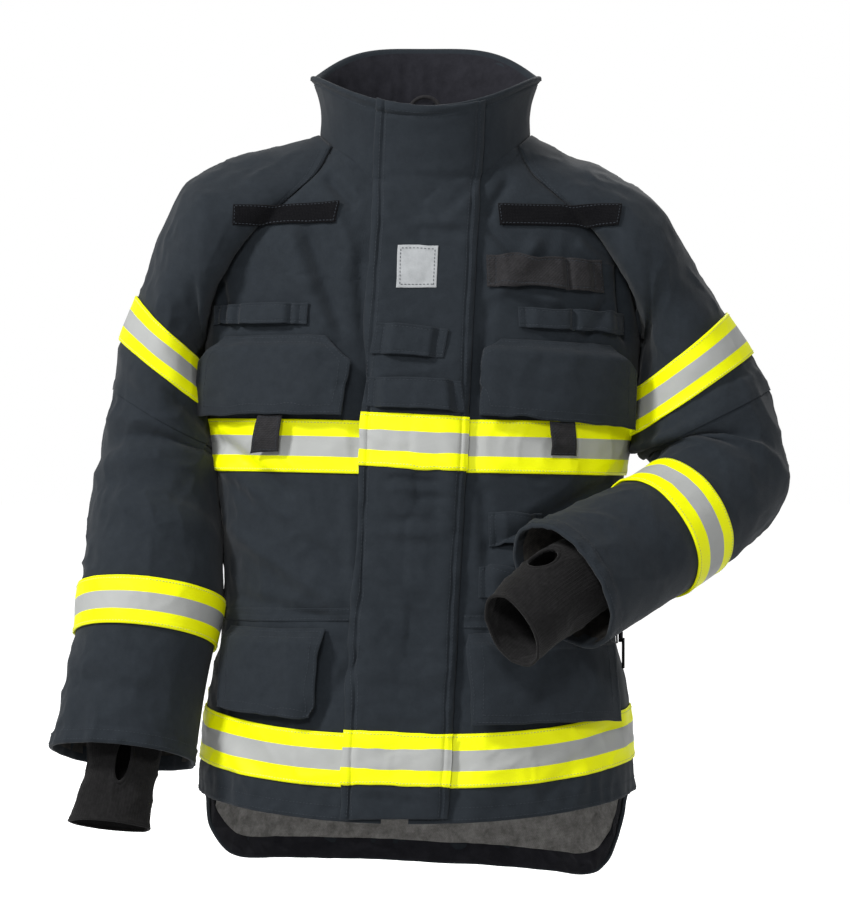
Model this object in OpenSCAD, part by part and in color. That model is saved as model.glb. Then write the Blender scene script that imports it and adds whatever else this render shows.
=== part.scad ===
// Firefighter's turnout coat, filled out as it is when worn, with its zip and storm flap closed.
// The origin is the centre of the neckline. +Z is up, the front faces -Y, and +X is the wearer's left.
// Every fabric wall is a sheet laid over one of three surfaces: the torso, the collar or a sleeve.

/* [Torso] */
// Half width of the neckline
neck_w = 105; // [98:1:112]
// Half width of the chest at the armpit
chest_w = 217; // [210:1:224]
// Half width of the waist
waist_w = 194; // [188:1:200]
// Half width of the hem
hem_w = 216; // [210:1:222]
// Height of the armpit, below the neckline
armpit_z = -190; // [-194:1:-186]
// Height of the front hem at the centre
hem_front_z = -653; // [-660:1:-648]
// Height of the dropped tail hem at the centre of the back
hem_back_z = -735; // [-750:1:-720]

/* [Collar] */
// Height of the collar's rim above the neckline at the front
collar_front_z = 33; // [28:1:38]
// Height of the collar's rim at the sides
collar_side_z = 74; // [64:1:80]
// Height of the collar's rim at the back
collar_back_z = 114; // [108:1:120]
// Half width of the collar's rim
rim_w = 115; // [106:1:118]

/* [Cloth] */
// Thickness of the outer shell
shell_t = 3; // [2:0.5:4]
// Thickness of the moisture barrier and of the quilted lining
liner_t = 1.2; // [0.8:0.1:1.4]
// Width of the reflective tape
tape_w = 50; // [48:1:52]
// Thickness of the reflective tape
tape_t = 1.2; // [0.8:0.1:1.4]

/* [Front closure] */
// Width of the storm flap
flap_w = 101; // [96:1:104]
// Gap between the two front panels, where the zip sits
zip_gap = 26; // [24:1:28]
// Number of teeth on each side of the zip
zip_teeth = 56; // [40:1:60]

/* [Pockets] */
// How far the chest pockets stand out from the chest
chest_pocket_d = 13; // [10:1:14]
// How far the hip pockets stand out from the coat
hip_pocket_d = 12; // [10:1:14]
// Gap between a strap loop and the cloth behind it
loop_gap = 7; // [6:0.5:9]

/* [Hidden] */

navy = "#2c323b";
black = "#17181b";
yellow = "#e6f20d";
grey = "#8a8b89";
steel = "#9a9ca0";

// Torso levels from the neckline (0) to the hem (14). Each is
// [half width, front depth, back depth, front z, side z, back z, roundness].
LEVELS = [
    [neck_w, 100, 78, -45, 16, 40, 2.0],
    [150, 102, 90, -58, -4, 20, 2.1],
    [188, 105, 103, -75, -27, -5, 2.2],
    [208, 109, 115, -103, -62, -40, 2.3],
    [216, 114, 128, -145, -120, -95, 2.35],
    [chest_w, 120, 136, armpit_z - 8, armpit_z, armpit_z + 10, 2.4],
    [212, 126, 140, -255, -250, -245, 2.45],
    [205, 132, 141, -312, -312, -312, 2.45],
    [198, 137, 139, -370, -370, -370, 2.45],
    [waist_w, 142, 137, -430, -430, -430, 2.45],
    [197, 146, 138, -490, -490, -490, 2.45],
    [204, 149, 141, -530, -520, -560, 2.45],
    [209, 152, 144, -566, -549, -610, 2.45],
    [213, 156, 147, -617, -600, -670, 2.45],
    [hem_w, 159, 149, hem_front_z, hem_front_z + 18, hem_back_z, 2.45]
];
last = len(LEVELS) - 1;
armpit_level = 5;
// How far from the centre the raglan seam crosses each level, from the neckline to the armpit
SEAM_FRONT = [90, 106, 130, 160, 200, chest_w];
SEAM_BACK = [78, 95, 115, 140, 178, chest_w];
tail_square = 20;     // how squarely the tail keeps its width down to its corners
tail_tilt = 0.07;     // how much lower the tail hangs towards the wearer's left
seam_gap = 2;         // half of the gap left between neighbouring panels
armpit_drop = 0.12;   // how many levels the panels' top edges are let down, clear of the shoulders
seam_deg = 0.35;      // the same gap along a side seam, in degrees
on_cloth = 1.2;       // clearance under anything sewn onto the shell
flap_in = 3.6;        // inner face of the storm flap, above the shell
flap_t = 2.8;

function mix(a, b, t) = a + (b - a) * t;
function clamp(t) = max(0, min(1, t));
function ease(t) = let (c = clamp(t)) c * c * (3 - 2 * c);
function unit(p) = p / norm(p);
function along(list, t) =
    let (c = max(0, min(len(list) - 1.0001, t)), i = floor(c)) mix(list[i], list[i + 1], c - i);
function side_of(n) = n < 0 ? -1 : 1;

// The whole body leans a little to the wearer's left at the neck
function lean(z) = 5 + 0.014 * z;

// A point of the torso's outer face, at a level and an angle (0 front, 90 the wearer's left, 180 back)
function torso_raw(level, angle) =
    let (r = along(LEVELS, level), e = 2 / r[6], s = sin(angle), c = cos(angle),
         x = r[0] * side_of(s) * pow(abs(s), e),
         y = -(c > 0 ? r[1] : r[2]) * side_of(c) * pow(abs(c), e),
         share = abs(x) / r[0],
         q = pow(share, c < 0 && level > 10 ? mix(2, tail_square, ease((level - 10) / 2)) : 2),
         tilt = tail_tilt * x * ease((level - 10) / 2),
         z = mix(c > 0 ? r[3] : r[5] - tilt, r[4], q))
    [x + lean(z), y, z];
function torso(level, angle, out = 0) =
    let (a = torso_raw(level, angle + 2) - torso_raw(level, angle - 2),
         b = torso_raw(min(last, level + 0.5), angle) - torso_raw(max(0, level - 0.5), angle))
    torso_raw(level, angle) + out * unit(cross(b, a));

// The angle at which a level lies x from the centre, on the front, and the level at a height
function angle_at(x, level) =
    let (r = along(LEVELS, level), share = clamp(abs(x) / r[0]))
    side_of(x) * asin(pow(share, r[6] / 2));
function level_at(z, angle, i = 0) =
    i >= last - 1 || torso_raw(i + 1, angle)[2] <= z
        ? i + (torso_raw(i, angle)[2] - z) / (torso_raw(i, angle)[2] - torso_raw(i + 1, angle)[2])
        : level_at(z, angle, i + 1);
function front_at(x, z, level = 6, tries = 5) =
    let (angle = angle_at(x - lean(z), level), found = clamp(level_at(z, angle) / last) * last)
    tries == 0 ? [found, angle] : front_at(x, z, found, tries - 1);
// A point on the coat's front that is at x and z as seen from the front
function front(x, z, out = 0) = let (f = front_at(x, z)) torso(f[0], f[1], out);

// The line down the middle of the storm flap, which leans with the coat
function centre_x(z) = 7 + 0.051 * (z + 45);

// The collar, from the neckline (0) to the rim (1)
function collar_at(h, angle, out = 0) =
    let (base = torso_raw(0, angle), s = sin(angle), c = cos(angle),
         rim = [rim_w * s + 6, -(c > 0 ? 112 : 86) * c,
                mix(c > 0 ? collar_front_z : collar_back_z, collar_side_z, pow(abs(s), c > 0 ? 2 : 3.5))],
         bow = 4 * sin(180 * h))
    mix(base, rim, h) + (out - bow) * unit([s, -c, 0]);

// A sleeve is a list of rings, each [centre, towards the outer edge, towards the front]
function upper_ring(top, bottom, y, depth) =
    [[(top[0] + bottom[0]) / 2, y, (top[1] + bottom[1]) / 2],
     [(top[0] - bottom[0]) / 2, 0, (top[1] - bottom[1]) / 2], [0, -depth, 0]];
function ring(centre, out_dir, front_dir, w, d) = [centre, w * unit(out_dir), d * unit(front_dir)];

RIGHT_OUT = [-0.995, 0, 0.1];
RIGHT_FRONT = [0, -0.957, 0.29];
RIGHT_ARM = [
    upper_ring([-188, -10], [-218, -188], 0, 104),
    upper_ring([-229, -29], [-219, -191], 0, 100),
    upper_ring([-250, -66], [-219, -194], 0, 95),
    upper_ring([-264, -100], [-219, -198], 0, 90),
    upper_ring([-279, -143], [-219, -206], 0, 86),
    upper_ring([-297, -190], [-217, -254], 0, 82),
    upper_ring([-306, -238], [-212, -293], 0, 78),
    ring([-264, -8, -318], RIGHT_OUT, RIGHT_FRONT, 56, 74),
    ring([-261, -40, -378], RIGHT_OUT, RIGHT_FRONT, 66, 71),
    ring([-262, -62, -438], RIGHT_OUT, RIGHT_FRONT, 71, 67),
    ring([-269, -72, -487], RIGHT_OUT, RIGHT_FRONT, 67, 65),
    ring([-279, -80, -542], RIGHT_OUT, RIGHT_FRONT, 67, 64),
    ring([-286, -90, -596], RIGHT_OUT, RIGHT_FRONT, 70, 63)
];
LEFT_OUT = [0.54, -0.085, -0.837];
LEFT_FRONT = [0.453, -0.811, 0.372];
LEFT_ARM = [
    upper_ring([182, -20], [221, -188], 0, 104),
    upper_ring([227, -44], [223, -191], 0, 100),
    upper_ring([253, -76], [223, -195], 0, 95),
    upper_ring([272, -110], [223, -200], 0, 90),
    upper_ring([302, -160], [222, -226], -3, 84),
    upper_ring([330, -204], [220, -280], -10, 80),
    upper_ring([344, -240], [224, -300], -20, 78),
    ring([300, -42, -324], [0.862, 0.292, -0.414], LEFT_FRONT, 67, 68),
    ring([277, -72, -350], LEFT_OUT, LEFT_FRONT, 62, 61),
    ring([258, -92, -364], LEFT_OUT, LEFT_FRONT, 60, 58),
    ring([220, -124, -386], LEFT_OUT, LEFT_FRONT, 61, 56),
    ring([177, -160, -407], LEFT_OUT, LEFT_FRONT, 63, 55),
    ring([134, -196, -427], LEFT_OUT, LEFT_FRONT, 66, 56)
];
// Places along a sleeve's list of rings
cap_end = 2;
upper_start = 4;
upper_end = 6;
lower_start = 8;
cuff = 12;

function on_ring(r, turn, out = 0) =
    r[0] + (norm(r[1]) + out) * cos(turn) * unit(r[1]) + (norm(r[2]) + out) * sin(turn) * unit(r[2]);
function sleeve(rings, place, turn, out = 0) =
    let (c = max(0, min(len(rings) - 1.0001, place)), i = floor(c))
    mix(on_ring(rings[i], turn, out), on_ring(rings[i + 1], turn, out), c - i);

// The raglan seam as a ring: over the neckline at the top, then down the front and back seams to the armpit
neck_turn = 28;
function raglan(side, turn, out) =
    let (t = turn > 180 ? turn - 360 : turn, back = t < 0, k = abs(t),
         level = k < neck_turn ? 0 : armpit_level * (k - neck_turn) / (180 - neck_turn),
         table = back ? SEAM_BACK : SEAM_FRONT, edge = along(table, level) + seam_gap,
         to_seam = angle_at(min(edge, along(LEVELS, level)[0]), level),
         angle = k < neck_turn ? mix(90, angle_at(table[0], 0), k / neck_turn) : to_seam)
    torso(level + 0.03, side * (back ? 180 - angle : angle), out);
function shoulder(side, rings, place, turn, out) =
    place < 1 ? mix(raglan(side, turn, out), on_ring(rings[0], turn, out), place)
              : sleeve(rings, place - 1, turn, out);

// A wall laid over a surface. f(u, v, face) gives a point, with u and v from 0 to 1;
// face is 1 on the outer face and 0 on the inner one. A closed wall joins its first and last columns.
module wall(f, nu, nv, closed = false, flip = false) {
    columns = closed ? nu : nu + 1;
    count = columns * (nv + 1);
    function at(i, j, face) = (face == 1 ? 0 : count) + (i % columns) * (nv + 1) + j;
    function turned(face) = flip ? [for (k = [len(face) - 1 : -1 : 0]) face[k]] : face;
    points = [for (face = [1, 0]) for (i = [0 : columns - 1]) for (j = [0 : nv]) f(i / nu, j / nv, face)];
    cells = [for (i = [0 : nu - 1]) for (j = [0 : nv - 1]) [i, j]];
    outer = [for (c = cells) let (i = c[0], j = c[1])
        [at(i, j, 1), at(i + 1, j, 1), at(i + 1, j + 1, 1), at(i, j + 1, 1)]];
    inner = [for (c = cells) let (i = c[0], j = c[1])
        [at(i, j, 0), at(i, j + 1, 0), at(i + 1, j + 1, 0), at(i + 1, j, 0)]];
    ends = [for (i = [0 : nu - 1]) each [
        [at(i, 0, 0), at(i + 1, 0, 0), at(i + 1, 0, 1), at(i, 0, 1)],
        [at(i, nv, 1), at(i + 1, nv, 1), at(i + 1, nv, 0), at(i, nv, 0)]]];
    sides = closed ? [] : [for (j = [0 : nv - 1]) each [
        [at(0, j, 0), at(0, j, 1), at(0, j + 1, 1), at(0, j + 1, 0)],
        [at(nu, j, 1), at(nu, j, 0), at(nu, j + 1, 0), at(nu, j + 1, 1)]]];
    polyhedron(points, [for (face = concat(outer, inner, ends, sides)) turned(face)], convexity = 6);
}

// A patch on the coat's front between two x edges and two z edges, each a function of the other way's share
module front_patch(x0, x1, z0, z1, d_in, d_out, nu = 6, nv = 3)
    wall(function(u, v, face)
        let (x = mix(x0(v), x1(v), u), z = mix(z0(u), z1(u), v))
        front(x, z, face == 1 ? d_out(u, v) : d_in(u, v)), nu, nv);
function same(k) = function(t) k;
function even(k) = function(u, v) k;
function line(a, b) = function(t) mix(a, b, t);

// A band of tape round the torso between two angles, under an upper edge given by level
module torso_band(a0, a1, level, below, d_in, nu)
    wall(function(u, v, face)
        torso(mix(level, below, v), mix(a0, a1, u), d_in + (face == 1 ? tape_t : 0)), nu, 2);

// ---- Torso ----
module front_panel(side)
    color(navy)
    wall(function(u, v, face)
        let (level = mix(0.03, last, v), z = torso_raw(level, side * 4)[2],
             start = angle_at(centre_x(z) - lean(z) + side * zip_gap / 2, level),
             high = max(0, level - armpit_drop),
             seam = high < armpit_level
                 ? side * angle_at(along(SEAM_FRONT, high) - seam_gap, level) : side * (90 - seam_deg),
             stop = side > 0 ? min(seam, 90 - seam_deg) : max(seam, -90 + seam_deg))
        torso(level, mix(start, stop, u), face == 1 ? 0 : -shell_t), 16, 14, flip = side < 0);
module right_front_panel() front_panel(-1);
module left_front_panel() front_panel(1);
module back_panel()
    color(navy)
    wall(function(u, v, face)
        let (level = mix(0.03, last, v), high = max(0, level - armpit_drop),
             half = high < armpit_level
                 ? min(90 - seam_deg, angle_at(along(SEAM_BACK, high) - seam_gap, level)) : 90 - seam_deg)
        torso(level, mix(180 - half, 180 + half, u), face == 1 ? 0 : -shell_t), 24, 14);
// The inner layers start below the armholes, stop above the hem and leave the front open at the zip
module inner_layer(d_out, stop, tint)
    color(tint)
    wall(function(u, v, face)
        let (rows = [6, 7, 8, 9, 10, 11, 12, 13, stop], level = along(rows, v * 8))
        torso(level, mix(7.5, 352.5, u), face == 1 ? -d_out : -d_out - liner_t), 46, 8);
barrier_out = shell_t + 1;
lining_out = barrier_out + liner_t + 0.8;
module moisture_barrier() inner_layer(barrier_out, last - 0.5, grey);
module quilted_lining() inner_layer(lining_out, last - 0.35, grey);

// ---- Collar ----
module collar_wall(d_in, d_out, h0, h1, tint)
    color(tint)
    wall(function(u, v, face)
        collar_at(mix(h1, h0, v), mix(5, 361, u), face == 1 ? d_out : d_in), 40, 4);
collar_t = 4;
module collar() collar_wall(-collar_t, 0, 0.05, 1, navy);
module collar_lining() collar_wall(-collar_t - 1.8, -collar_t - 0.3, 0.08, 0.97, black);
// A cord loop sewn inside the back of the collar
loop_r = 2;
module hanging_loop()
    color(black)
    translate([5, 62, 46]) rotate([90, 0, 0])
    rotate_extrude(angle = 180, $fn = 48) translate([16, 0]) circle(r = loop_r, $fn = 24);

// ---- Front closure ----
zip_top = -62;
zip_bottom = -610;
zip_depth = 4;        // how far the middle of the zip lies behind the shell's outer face at both ends
tooth = [2.6, 2.2, 3];
tooth_gap = 1;        // half of the gap between the two rows of teeth, where the slider's divider runs
zip_tape_t = 1;
function zip_end(z) = front(centre_x(z), z, -zip_depth);
// A point on the zip's straight middle line
function zip_at(z) = mix(zip_end(zip_top), zip_end(zip_bottom), (z - zip_top) / (zip_bottom - zip_top));
module zip_tape(side)
    color(black)
    wall(function(u, v, face)
        let (x = side * mix(tooth_gap + tooth[0] + 0.15, zip_gap / 2 - 1.2, u))
        zip_at(mix(zip_top, zip_bottom, v)) + [x, (face == 1 ? -0.5 : 0.5) * zip_tape_t, 0],
        1, 1, flip = side < 0);
module zip_tape_right() zip_tape(-1);
module zip_tape_left() zip_tape(1);
zip_pitch = (zip_top - zip_bottom) / zip_teeth;
module teeth(side)
    color(steel)
    for (i = [0 : zip_teeth - 1])
        translate(zip_at(zip_top - (i + (side > 0 ? 0.75 : 0.25)) * zip_pitch)
            + [side * (tooth_gap + tooth[0] / 2), 0, 0])
        cube(tooth, center = true);
module zip_teeth_right() teeth(-1);
module zip_teeth_left() teeth(1);
module zip_bottom_stop()
    color(steel) translate(zip_at(zip_bottom - 3)) cube([7, 3, 4], center = true);
// The slider: two plates either side of the teeth, joined by a thin divider, with a bail for the pull
slider_z = zip_top - 7;
slider_size = [9.4, 1.2, 12];
slider_gap = 2.1;     // from the zip's middle line to each plate
bail_y = -slider_gap - slider_size[1];
module zip_slider()
    color(steel) translate(zip_at(slider_z)) {
        for (side = [-1, 1])
            translate([0, side * (slider_gap + slider_size[1] / 2), 0]) cube(slider_size, center = true);
        cube([0.6, 2 * slider_gap + 0.2, slider_size[2]], center = true);
        for (z = [-3.4, 3.4]) translate([0, bail_y - 0.7, z]) cube([1.2, 1.6, 1.2], center = true);
        translate([0, bail_y - 1.9, 0]) cube([1.2, 1, 8], center = true);
    }
// The pull hangs from the bail's lower post, which passes through its eye
module zip_pull()
    color(steel) translate(zip_at(slider_z) + [0, bail_y - 0.7, -3.4])
    difference() {
        hull() {
            cube([6, 0.7, 5.4], center = true);
            translate([0, 0, -20]) cube([7, 0.7, 5], center = true);
        }
        cube([2, 3, 2], center = true);
    }

function flap_left(z) = centre_x(z) - flap_w / 2;
function flap_right(z) = centre_x(z) + flap_w / 2;
flap_top = -60;       // where the storm flap leaves the collar for the front panels
flap_bottom = hem_front_z + 4;
module on_flap(u0, u1, z0, z1, d_in, d_out, nu = 4, nv = 3)
    wall(function(u, v, face)
        let (z = mix(z0, z1, v))
        front(mix(flap_left(z), flap_right(z), mix(u0, u1, u)), z,
              flap_in + (face == 1 ? d_out(u, v) : d_in(u, v))), nu, nv);
// The storm flap runs from the collar's rim down to the hem: its upper rows lie over the collar
COLLAR_ROWS = [1, 0.66, 0.33, 0.08];
function over_collar(x, h, out) =
    let (dx = x - lean(0), share = clamp(abs(dx) / mix(neck_w, rim_w, h)))
    collar_at(h, side_of(dx) * asin(share), out);
flap_rows = len(COLLAR_ROWS) + 14;
module storm_flap()
    color(navy)
    wall(function(u, v, face)
        let (row = round(v * flap_rows), out = flap_in + (face == 1 ? flap_t : 0), top = len(COLLAR_ROWS),
             h = row < top ? COLLAR_ROWS[row] : 0,
             z = row < top ? collar_at(h, 0)[2] : mix(flap_top, flap_bottom, (row - top) / (flap_rows - top)),
             x = mix(flap_left(z), flap_right(z), u))
        row < top ? over_collar(x, h, out) : front(x, z, out), 8, flap_rows);
module storm_flap_hook_strip()
    color(black) on_flap(0.03, 0.22, -90, flap_bottom + 30, even(-1.5), even(-0.5), 2, 12);
module storm_flap_loop_strip()
    color(black) on_flap(0.03, 0.22, -90, flap_bottom + 30, even(on_cloth - flap_in), even(-1.8), 2, 12);
module label_patch()
    color(grey) on_flap(0.26, 0.66, -104, -144, even(flap_t + 0.2), even(flap_t + 0.9), 3, 3);
// A strap sewn down at both ends and standing clear of the cloth between them
function strap_lift(u, gap) = gap * ease(u / 0.18) * ease((1 - u) / 0.18);
function strap_in(base, gap) = function(u, v) base + strap_lift(u, gap);
function strap_out(base, gap, t) = function(u, v) base + t + strap_lift(u, gap);
strap_t = 2;
module flap_strap(u0, u1, z0, z1, gap)
    color(navy)
    on_flap(u0, u1, z0, z1, strap_in(flap_t + 0.2, gap), strap_out(flap_t + 0.2, gap, strap_t), 8, 1);
module centre_loop() flap_strap(0.1, 0.78, -177, -206, 7);
module centre_band() flap_strap(0.06, 0.86, -229, -262, 8);

// ---- Pockets ----
// A bellows pocket: its front stands depth off the coat, and its sides and bottom drop back to the cloth
module pocket(x0, x1, z0, z1, depth, flare = 3, t = 1.6) {
    nu = 8;
    nv = 4;
    step = side_of(x1 - x0);
    color(navy)
    wall(function(u, v, face)
        let (i = round(u * nu), j = round(v * nv), in = face == 1 ? 0 : t,
             border_u = i == 0 ? -1 : i == nu ? 1 : 0, border_v = j == nv ? 1 : 0,
             cu = clamp((i - 1) / (nu - 2)), cv = clamp(j / (nv - 1)),
             x = mix(x0 + step * in, x1 - step * in, cu) + border_u * step * flare,
             z = mix(z0, z1 + in, cv) - border_v * flare,
             d = border_u != 0 || border_v != 0 ? on_cloth : depth - in)
        front(x, z, d), nu, nv);
}
// A pocket flap: sewn to the coat along its top, then lying clear over the pocket's front
module pocket_flap(x0, x1, z0, z1, clear, t = 2.2)
    color(navy)
    front_patch(x0, x1, z0, z1,
        function(u, v) mix(on_cloth + 1.4, clear, ease(v / 0.34)),
        function(u, v) mix(on_cloth + 1.4, clear, ease(v / 0.34)) + t, 10, 6);
chest_clear = chest_pocket_d + 1.4;
hip_clear = hip_pocket_d + 1.4;
// The share of a chest flap's height over which its top corners are cut away
corner = 0.34;
function cut_corner(top, wide, bottom) = function(v)
    v < corner ? mix(top, wide, v / corner) : mix(wide, bottom, (v - corner) / (1 - corner));
module right_chest_pocket() pocket(-186, -78, -226, -258, chest_pocket_d);
module right_chest_flap()
    pocket_flap(cut_corner(-184, -199, -202), cut_corner(-90, -66, -73),
                line(-192, -188), line(-262, -267), chest_clear);
module left_chest_pocket() pocket(62, 186, -228, -262, chest_pocket_d);
module left_chest_flap()
    pocket_flap(cut_corner(79, 55, 55), cut_corner(181, 198, 197),
                line(-193, -197), line(-266, -276), chest_clear);
// Pull tabs sewn to the flaps' lower edges, hanging in front of the tape
module chest_pull(x0, x1, z0, z1)
    color(black) front_patch(same(x0), same(x1), same(z0), same(z1),
        even(chest_clear - 3.8), even(chest_clear - 1.9), 2, 2);
module right_chest_pull() chest_pull(-156, -130, -268.5, -299);
module left_chest_pull() chest_pull(121, 144, -275.5, -305);
module right_hip_pocket() pocket(-174, -106, -500, -545, hip_pocket_d);
module right_hip_flap()
    pocket_flap(line(-180, -187), line(-89, -101), same(-472), line(-548, -557), hip_clear);
module left_hip_pocket() pocket(58, 174, -504, -548, hip_pocket_d);
module left_hip_flap()
    pocket_flap(line(48, 51), line(178, 187), same(-476), same(-560), hip_clear);

// ---- Straps, patches and tape on the torso ----
module front_strap(x0, x1, z0, z1, gap, tint)
    color(tint) front_patch(same(x0), same(x1), same(z0), same(z1),
        strap_in(on_cloth, gap), strap_out(on_cloth, gap, strap_t), 10, 1);
module radio_loop() front_strap(64, 184, -112, -144, loop_gap, black);
module left_utility_loop() front_strap(94, 199, -163, -184, loop_gap, navy);
module right_utility_loop() front_strap(-192, -106, -158, -179, loop_gap, navy);
module torch_loop() front_strap(66, 118, -361, -391, loop_gap, navy);
module glove_loop() front_strap(56, 118, -411, -439, loop_gap, navy);
// Flat hook-and-loop strips that carry a name badge, across the raglan seams
strip_size = [98, 1.6, 22];
strip_turn = 2;
strip_lean = 16;
module name_strip(side)
    color(black)
    translate([side * 128, -101.8, -70]) rotate([0, 0, side * strip_turn]) rotate([-strip_lean, 0, 0])
    cube(strip_size, center = true);
module right_name_strip() name_strip(-1);
module left_name_strip() name_strip(1);
// A hand-warmer zip in the left side seam, behind the hip pocket
side_zip_angle = 80;
module side_zip()
    color(black)
    wall(function(u, v, face)
        torso(mix(8.2, 10, v), side_zip_angle + 3 * u, face == 1 ? on_cloth + 1.2 : on_cloth), 1, 4);
module side_zip_slider()
    color(steel)
    let (p = torso(9.9, side_zip_angle + 1.5, 5.6))
    translate(p) rotate([0, 0, 68]) {
        cube([7, 2.4, 10], center = true);
        translate([0, -2.6, -16]) cube([3.4, 2, 30], center = true);
    }

chest_tape_z = -269;
hem_tape_z = -566;
module front_tape(x0, x1, z0)
    color(yellow)
    front_patch(x0, x1, z0, function(u) z0(u) - tape_w, even(on_cloth), even(on_cloth + tape_t), 12, 2);
tape_edge = 3;
module chest_tape_right()
    front_tape(same(-195), function(v) flap_left(chest_tape_z) - tape_edge, same(chest_tape_z - 1));
module chest_tape_left()
    front_tape(function(v) flap_right(chest_tape_z) + tape_edge, same(196),
               line(chest_tape_z, chest_tape_z - 8));
module chest_tape_back() color(yellow) torso_band(101, 259, 6.3, 7.18, on_cloth, 20);
module flap_tape(z)
    color(yellow) on_flap(0, 1, z, z - tape_w, even(flap_t + 0.5), even(flap_t + 0.5 + tape_t), 4, 2);
module chest_tape_flap() flap_tape(chest_tape_z);
module hem_tape_front() {
    color(yellow) torso_band(-88, angle_at(flap_left(hem_tape_z) - tape_edge, 12), 12, 13, on_cloth, 9);
    color(yellow) torso_band(angle_at(flap_right(hem_tape_z) + tape_edge, 12), 88, 12, 13, on_cloth, 9);
}
module hem_tape_back() color(yellow) torso_band(92, 268, 12.55, 13.35, on_cloth, 24);
module hem_tape_flap() flap_tape(hem_tape_z);

// ---- Sleeves ----
// A length of sleeve between two places along its rings
module sleeve_wall(rings, from, to, side, d_out = 0, t = shell_t, nv = 3, nu = 28)
    wall(function(u, v, face)
        sleeve(rings, mix(from, to, v), 360 * u, face == 1 ? d_out : d_out - t),
        nu, nv, closed = true, flip = side > 0);
module shoulder_wall(rings, side)
    color(navy)
    wall(function(u, v, face)
        shoulder(side, rings, mix(0.05, cap_end + 1, v), 360 * u, face == 1 ? 0 : -shell_t),
        28, 4, closed = true, flip = side > 0);
fold_gap = 0.06;      // a gap left at each end of a fold, as a share of the way between two rings
module sleeve_tape(rings, from, to, side)
    color(yellow) sleeve_wall(rings, from, to, side, on_cloth + tape_t, tape_t, nv = 1);
module upper_sleeve(rings, side) {
    color(navy) sleeve_wall(rings, upper_start, upper_end, side, nv = 2);
    sleeve_tape(rings, upper_start + 0.06, upper_start + 0.98, side);
}
module lower_sleeve(rings, side) {
    color(navy) sleeve_wall(rings, lower_start, cuff, side, nv = 4);
    sleeve_tape(rings, lower_start + 1.02, lower_start + 1.98, side);
}
module armhole_fold(rings, side)
    color(navy) sleeve_wall(rings, cap_end + fold_gap, upper_start - fold_gap, side, nv = 1);
module elbow_fold(rings, side)
    color(navy) sleeve_wall(rings, upper_end + fold_gap / 2, lower_start - fold_gap / 2, side, nv = 2);
module right_shoulder() shoulder_wall(RIGHT_ARM, -1);
module left_shoulder() shoulder_wall(LEFT_ARM, 1);
module right_armhole_fold() armhole_fold(RIGHT_ARM, -1);
module left_armhole_fold() armhole_fold(LEFT_ARM, 1);
module right_upper_sleeve() upper_sleeve(RIGHT_ARM, -1);
module left_upper_sleeve() upper_sleeve(LEFT_ARM, 1);
module right_elbow_fold() elbow_fold(RIGHT_ARM, -1);
module left_elbow_fold() elbow_fold(LEFT_ARM, 1);
module right_lower_sleeve() lower_sleeve(RIGHT_ARM, -1);
module left_lower_sleeve() lower_sleeve(LEFT_ARM, 1);
// Knitted wristlets, sewn inside the cuffs
RIGHT_WRISTLET = [
    ring([-281, -77, -556], RIGHT_OUT, RIGHT_FRONT, 36, 28),
    ring([-290, -92, -612], RIGHT_OUT, RIGHT_FRONT, 35, 26),
    ring([-299, -107, -660], RIGHT_OUT, RIGHT_FRONT, 38, 25)
];
LEFT_WRISTLET = [
    ring([152, -181, -418], LEFT_OUT, LEFT_FRONT, 40, 34),
    ring([118, -214, -438], LEFT_OUT, LEFT_FRONT, 39, 33),
    ring([84, -247, -465], LEFT_OUT, LEFT_FRONT, 36, 31)
];
knit_t = 2;
module right_wristlet() color(black) sleeve_wall(RIGHT_WRISTLET, 0, 2, -1, 0, knit_t, nv = 4, nu = 24);
module left_wristlet() color(black) sleeve_wall(LEFT_WRISTLET, 0, 2, 1, 0, knit_t, nv = 4, nu = 24);

back_panel();
right_front_panel();
left_front_panel();
collar();
collar_lining();
moisture_barrier();
quilted_lining();
hanging_loop();
zip_tape_right();
zip_tape_left();
zip_teeth_right();
zip_teeth_left();
zip_bottom_stop();
zip_slider();
zip_pull();
storm_flap();
storm_flap_hook_strip();
storm_flap_loop_strip();
label_patch();
centre_loop();
centre_band();
right_chest_pocket();
right_chest_flap();
right_chest_pull();
left_chest_pocket();
left_chest_flap();
left_chest_pull();
right_hip_pocket();
right_hip_flap();
left_hip_pocket();
left_hip_flap();
right_name_strip();
left_name_strip();
radio_loop();
left_utility_loop();
right_utility_loop();
torch_loop();
glove_loop();
side_zip();
side_zip_slider();
chest_tape_right();
chest_tape_left();
chest_tape_back();
chest_tape_flap();
hem_tape_front();
hem_tape_back();
hem_tape_flap();
right_shoulder();
right_armhole_fold();
right_upper_sleeve();
right_elbow_fold();
right_lower_sleeve();
right_wristlet();
left_shoulder();
left_armhole_fold();
left_upper_sleeve();
left_elbow_fold();
left_lower_sleeve();
left_wristlet();
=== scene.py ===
"""A firefighter's turnout coat, filled out as it is when worn. Lengths are in millimetres until a mesh is made."""

import copy

import bpy
import numpy as np
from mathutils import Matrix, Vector
from mathutils.bvhtree import BVHTree


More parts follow.
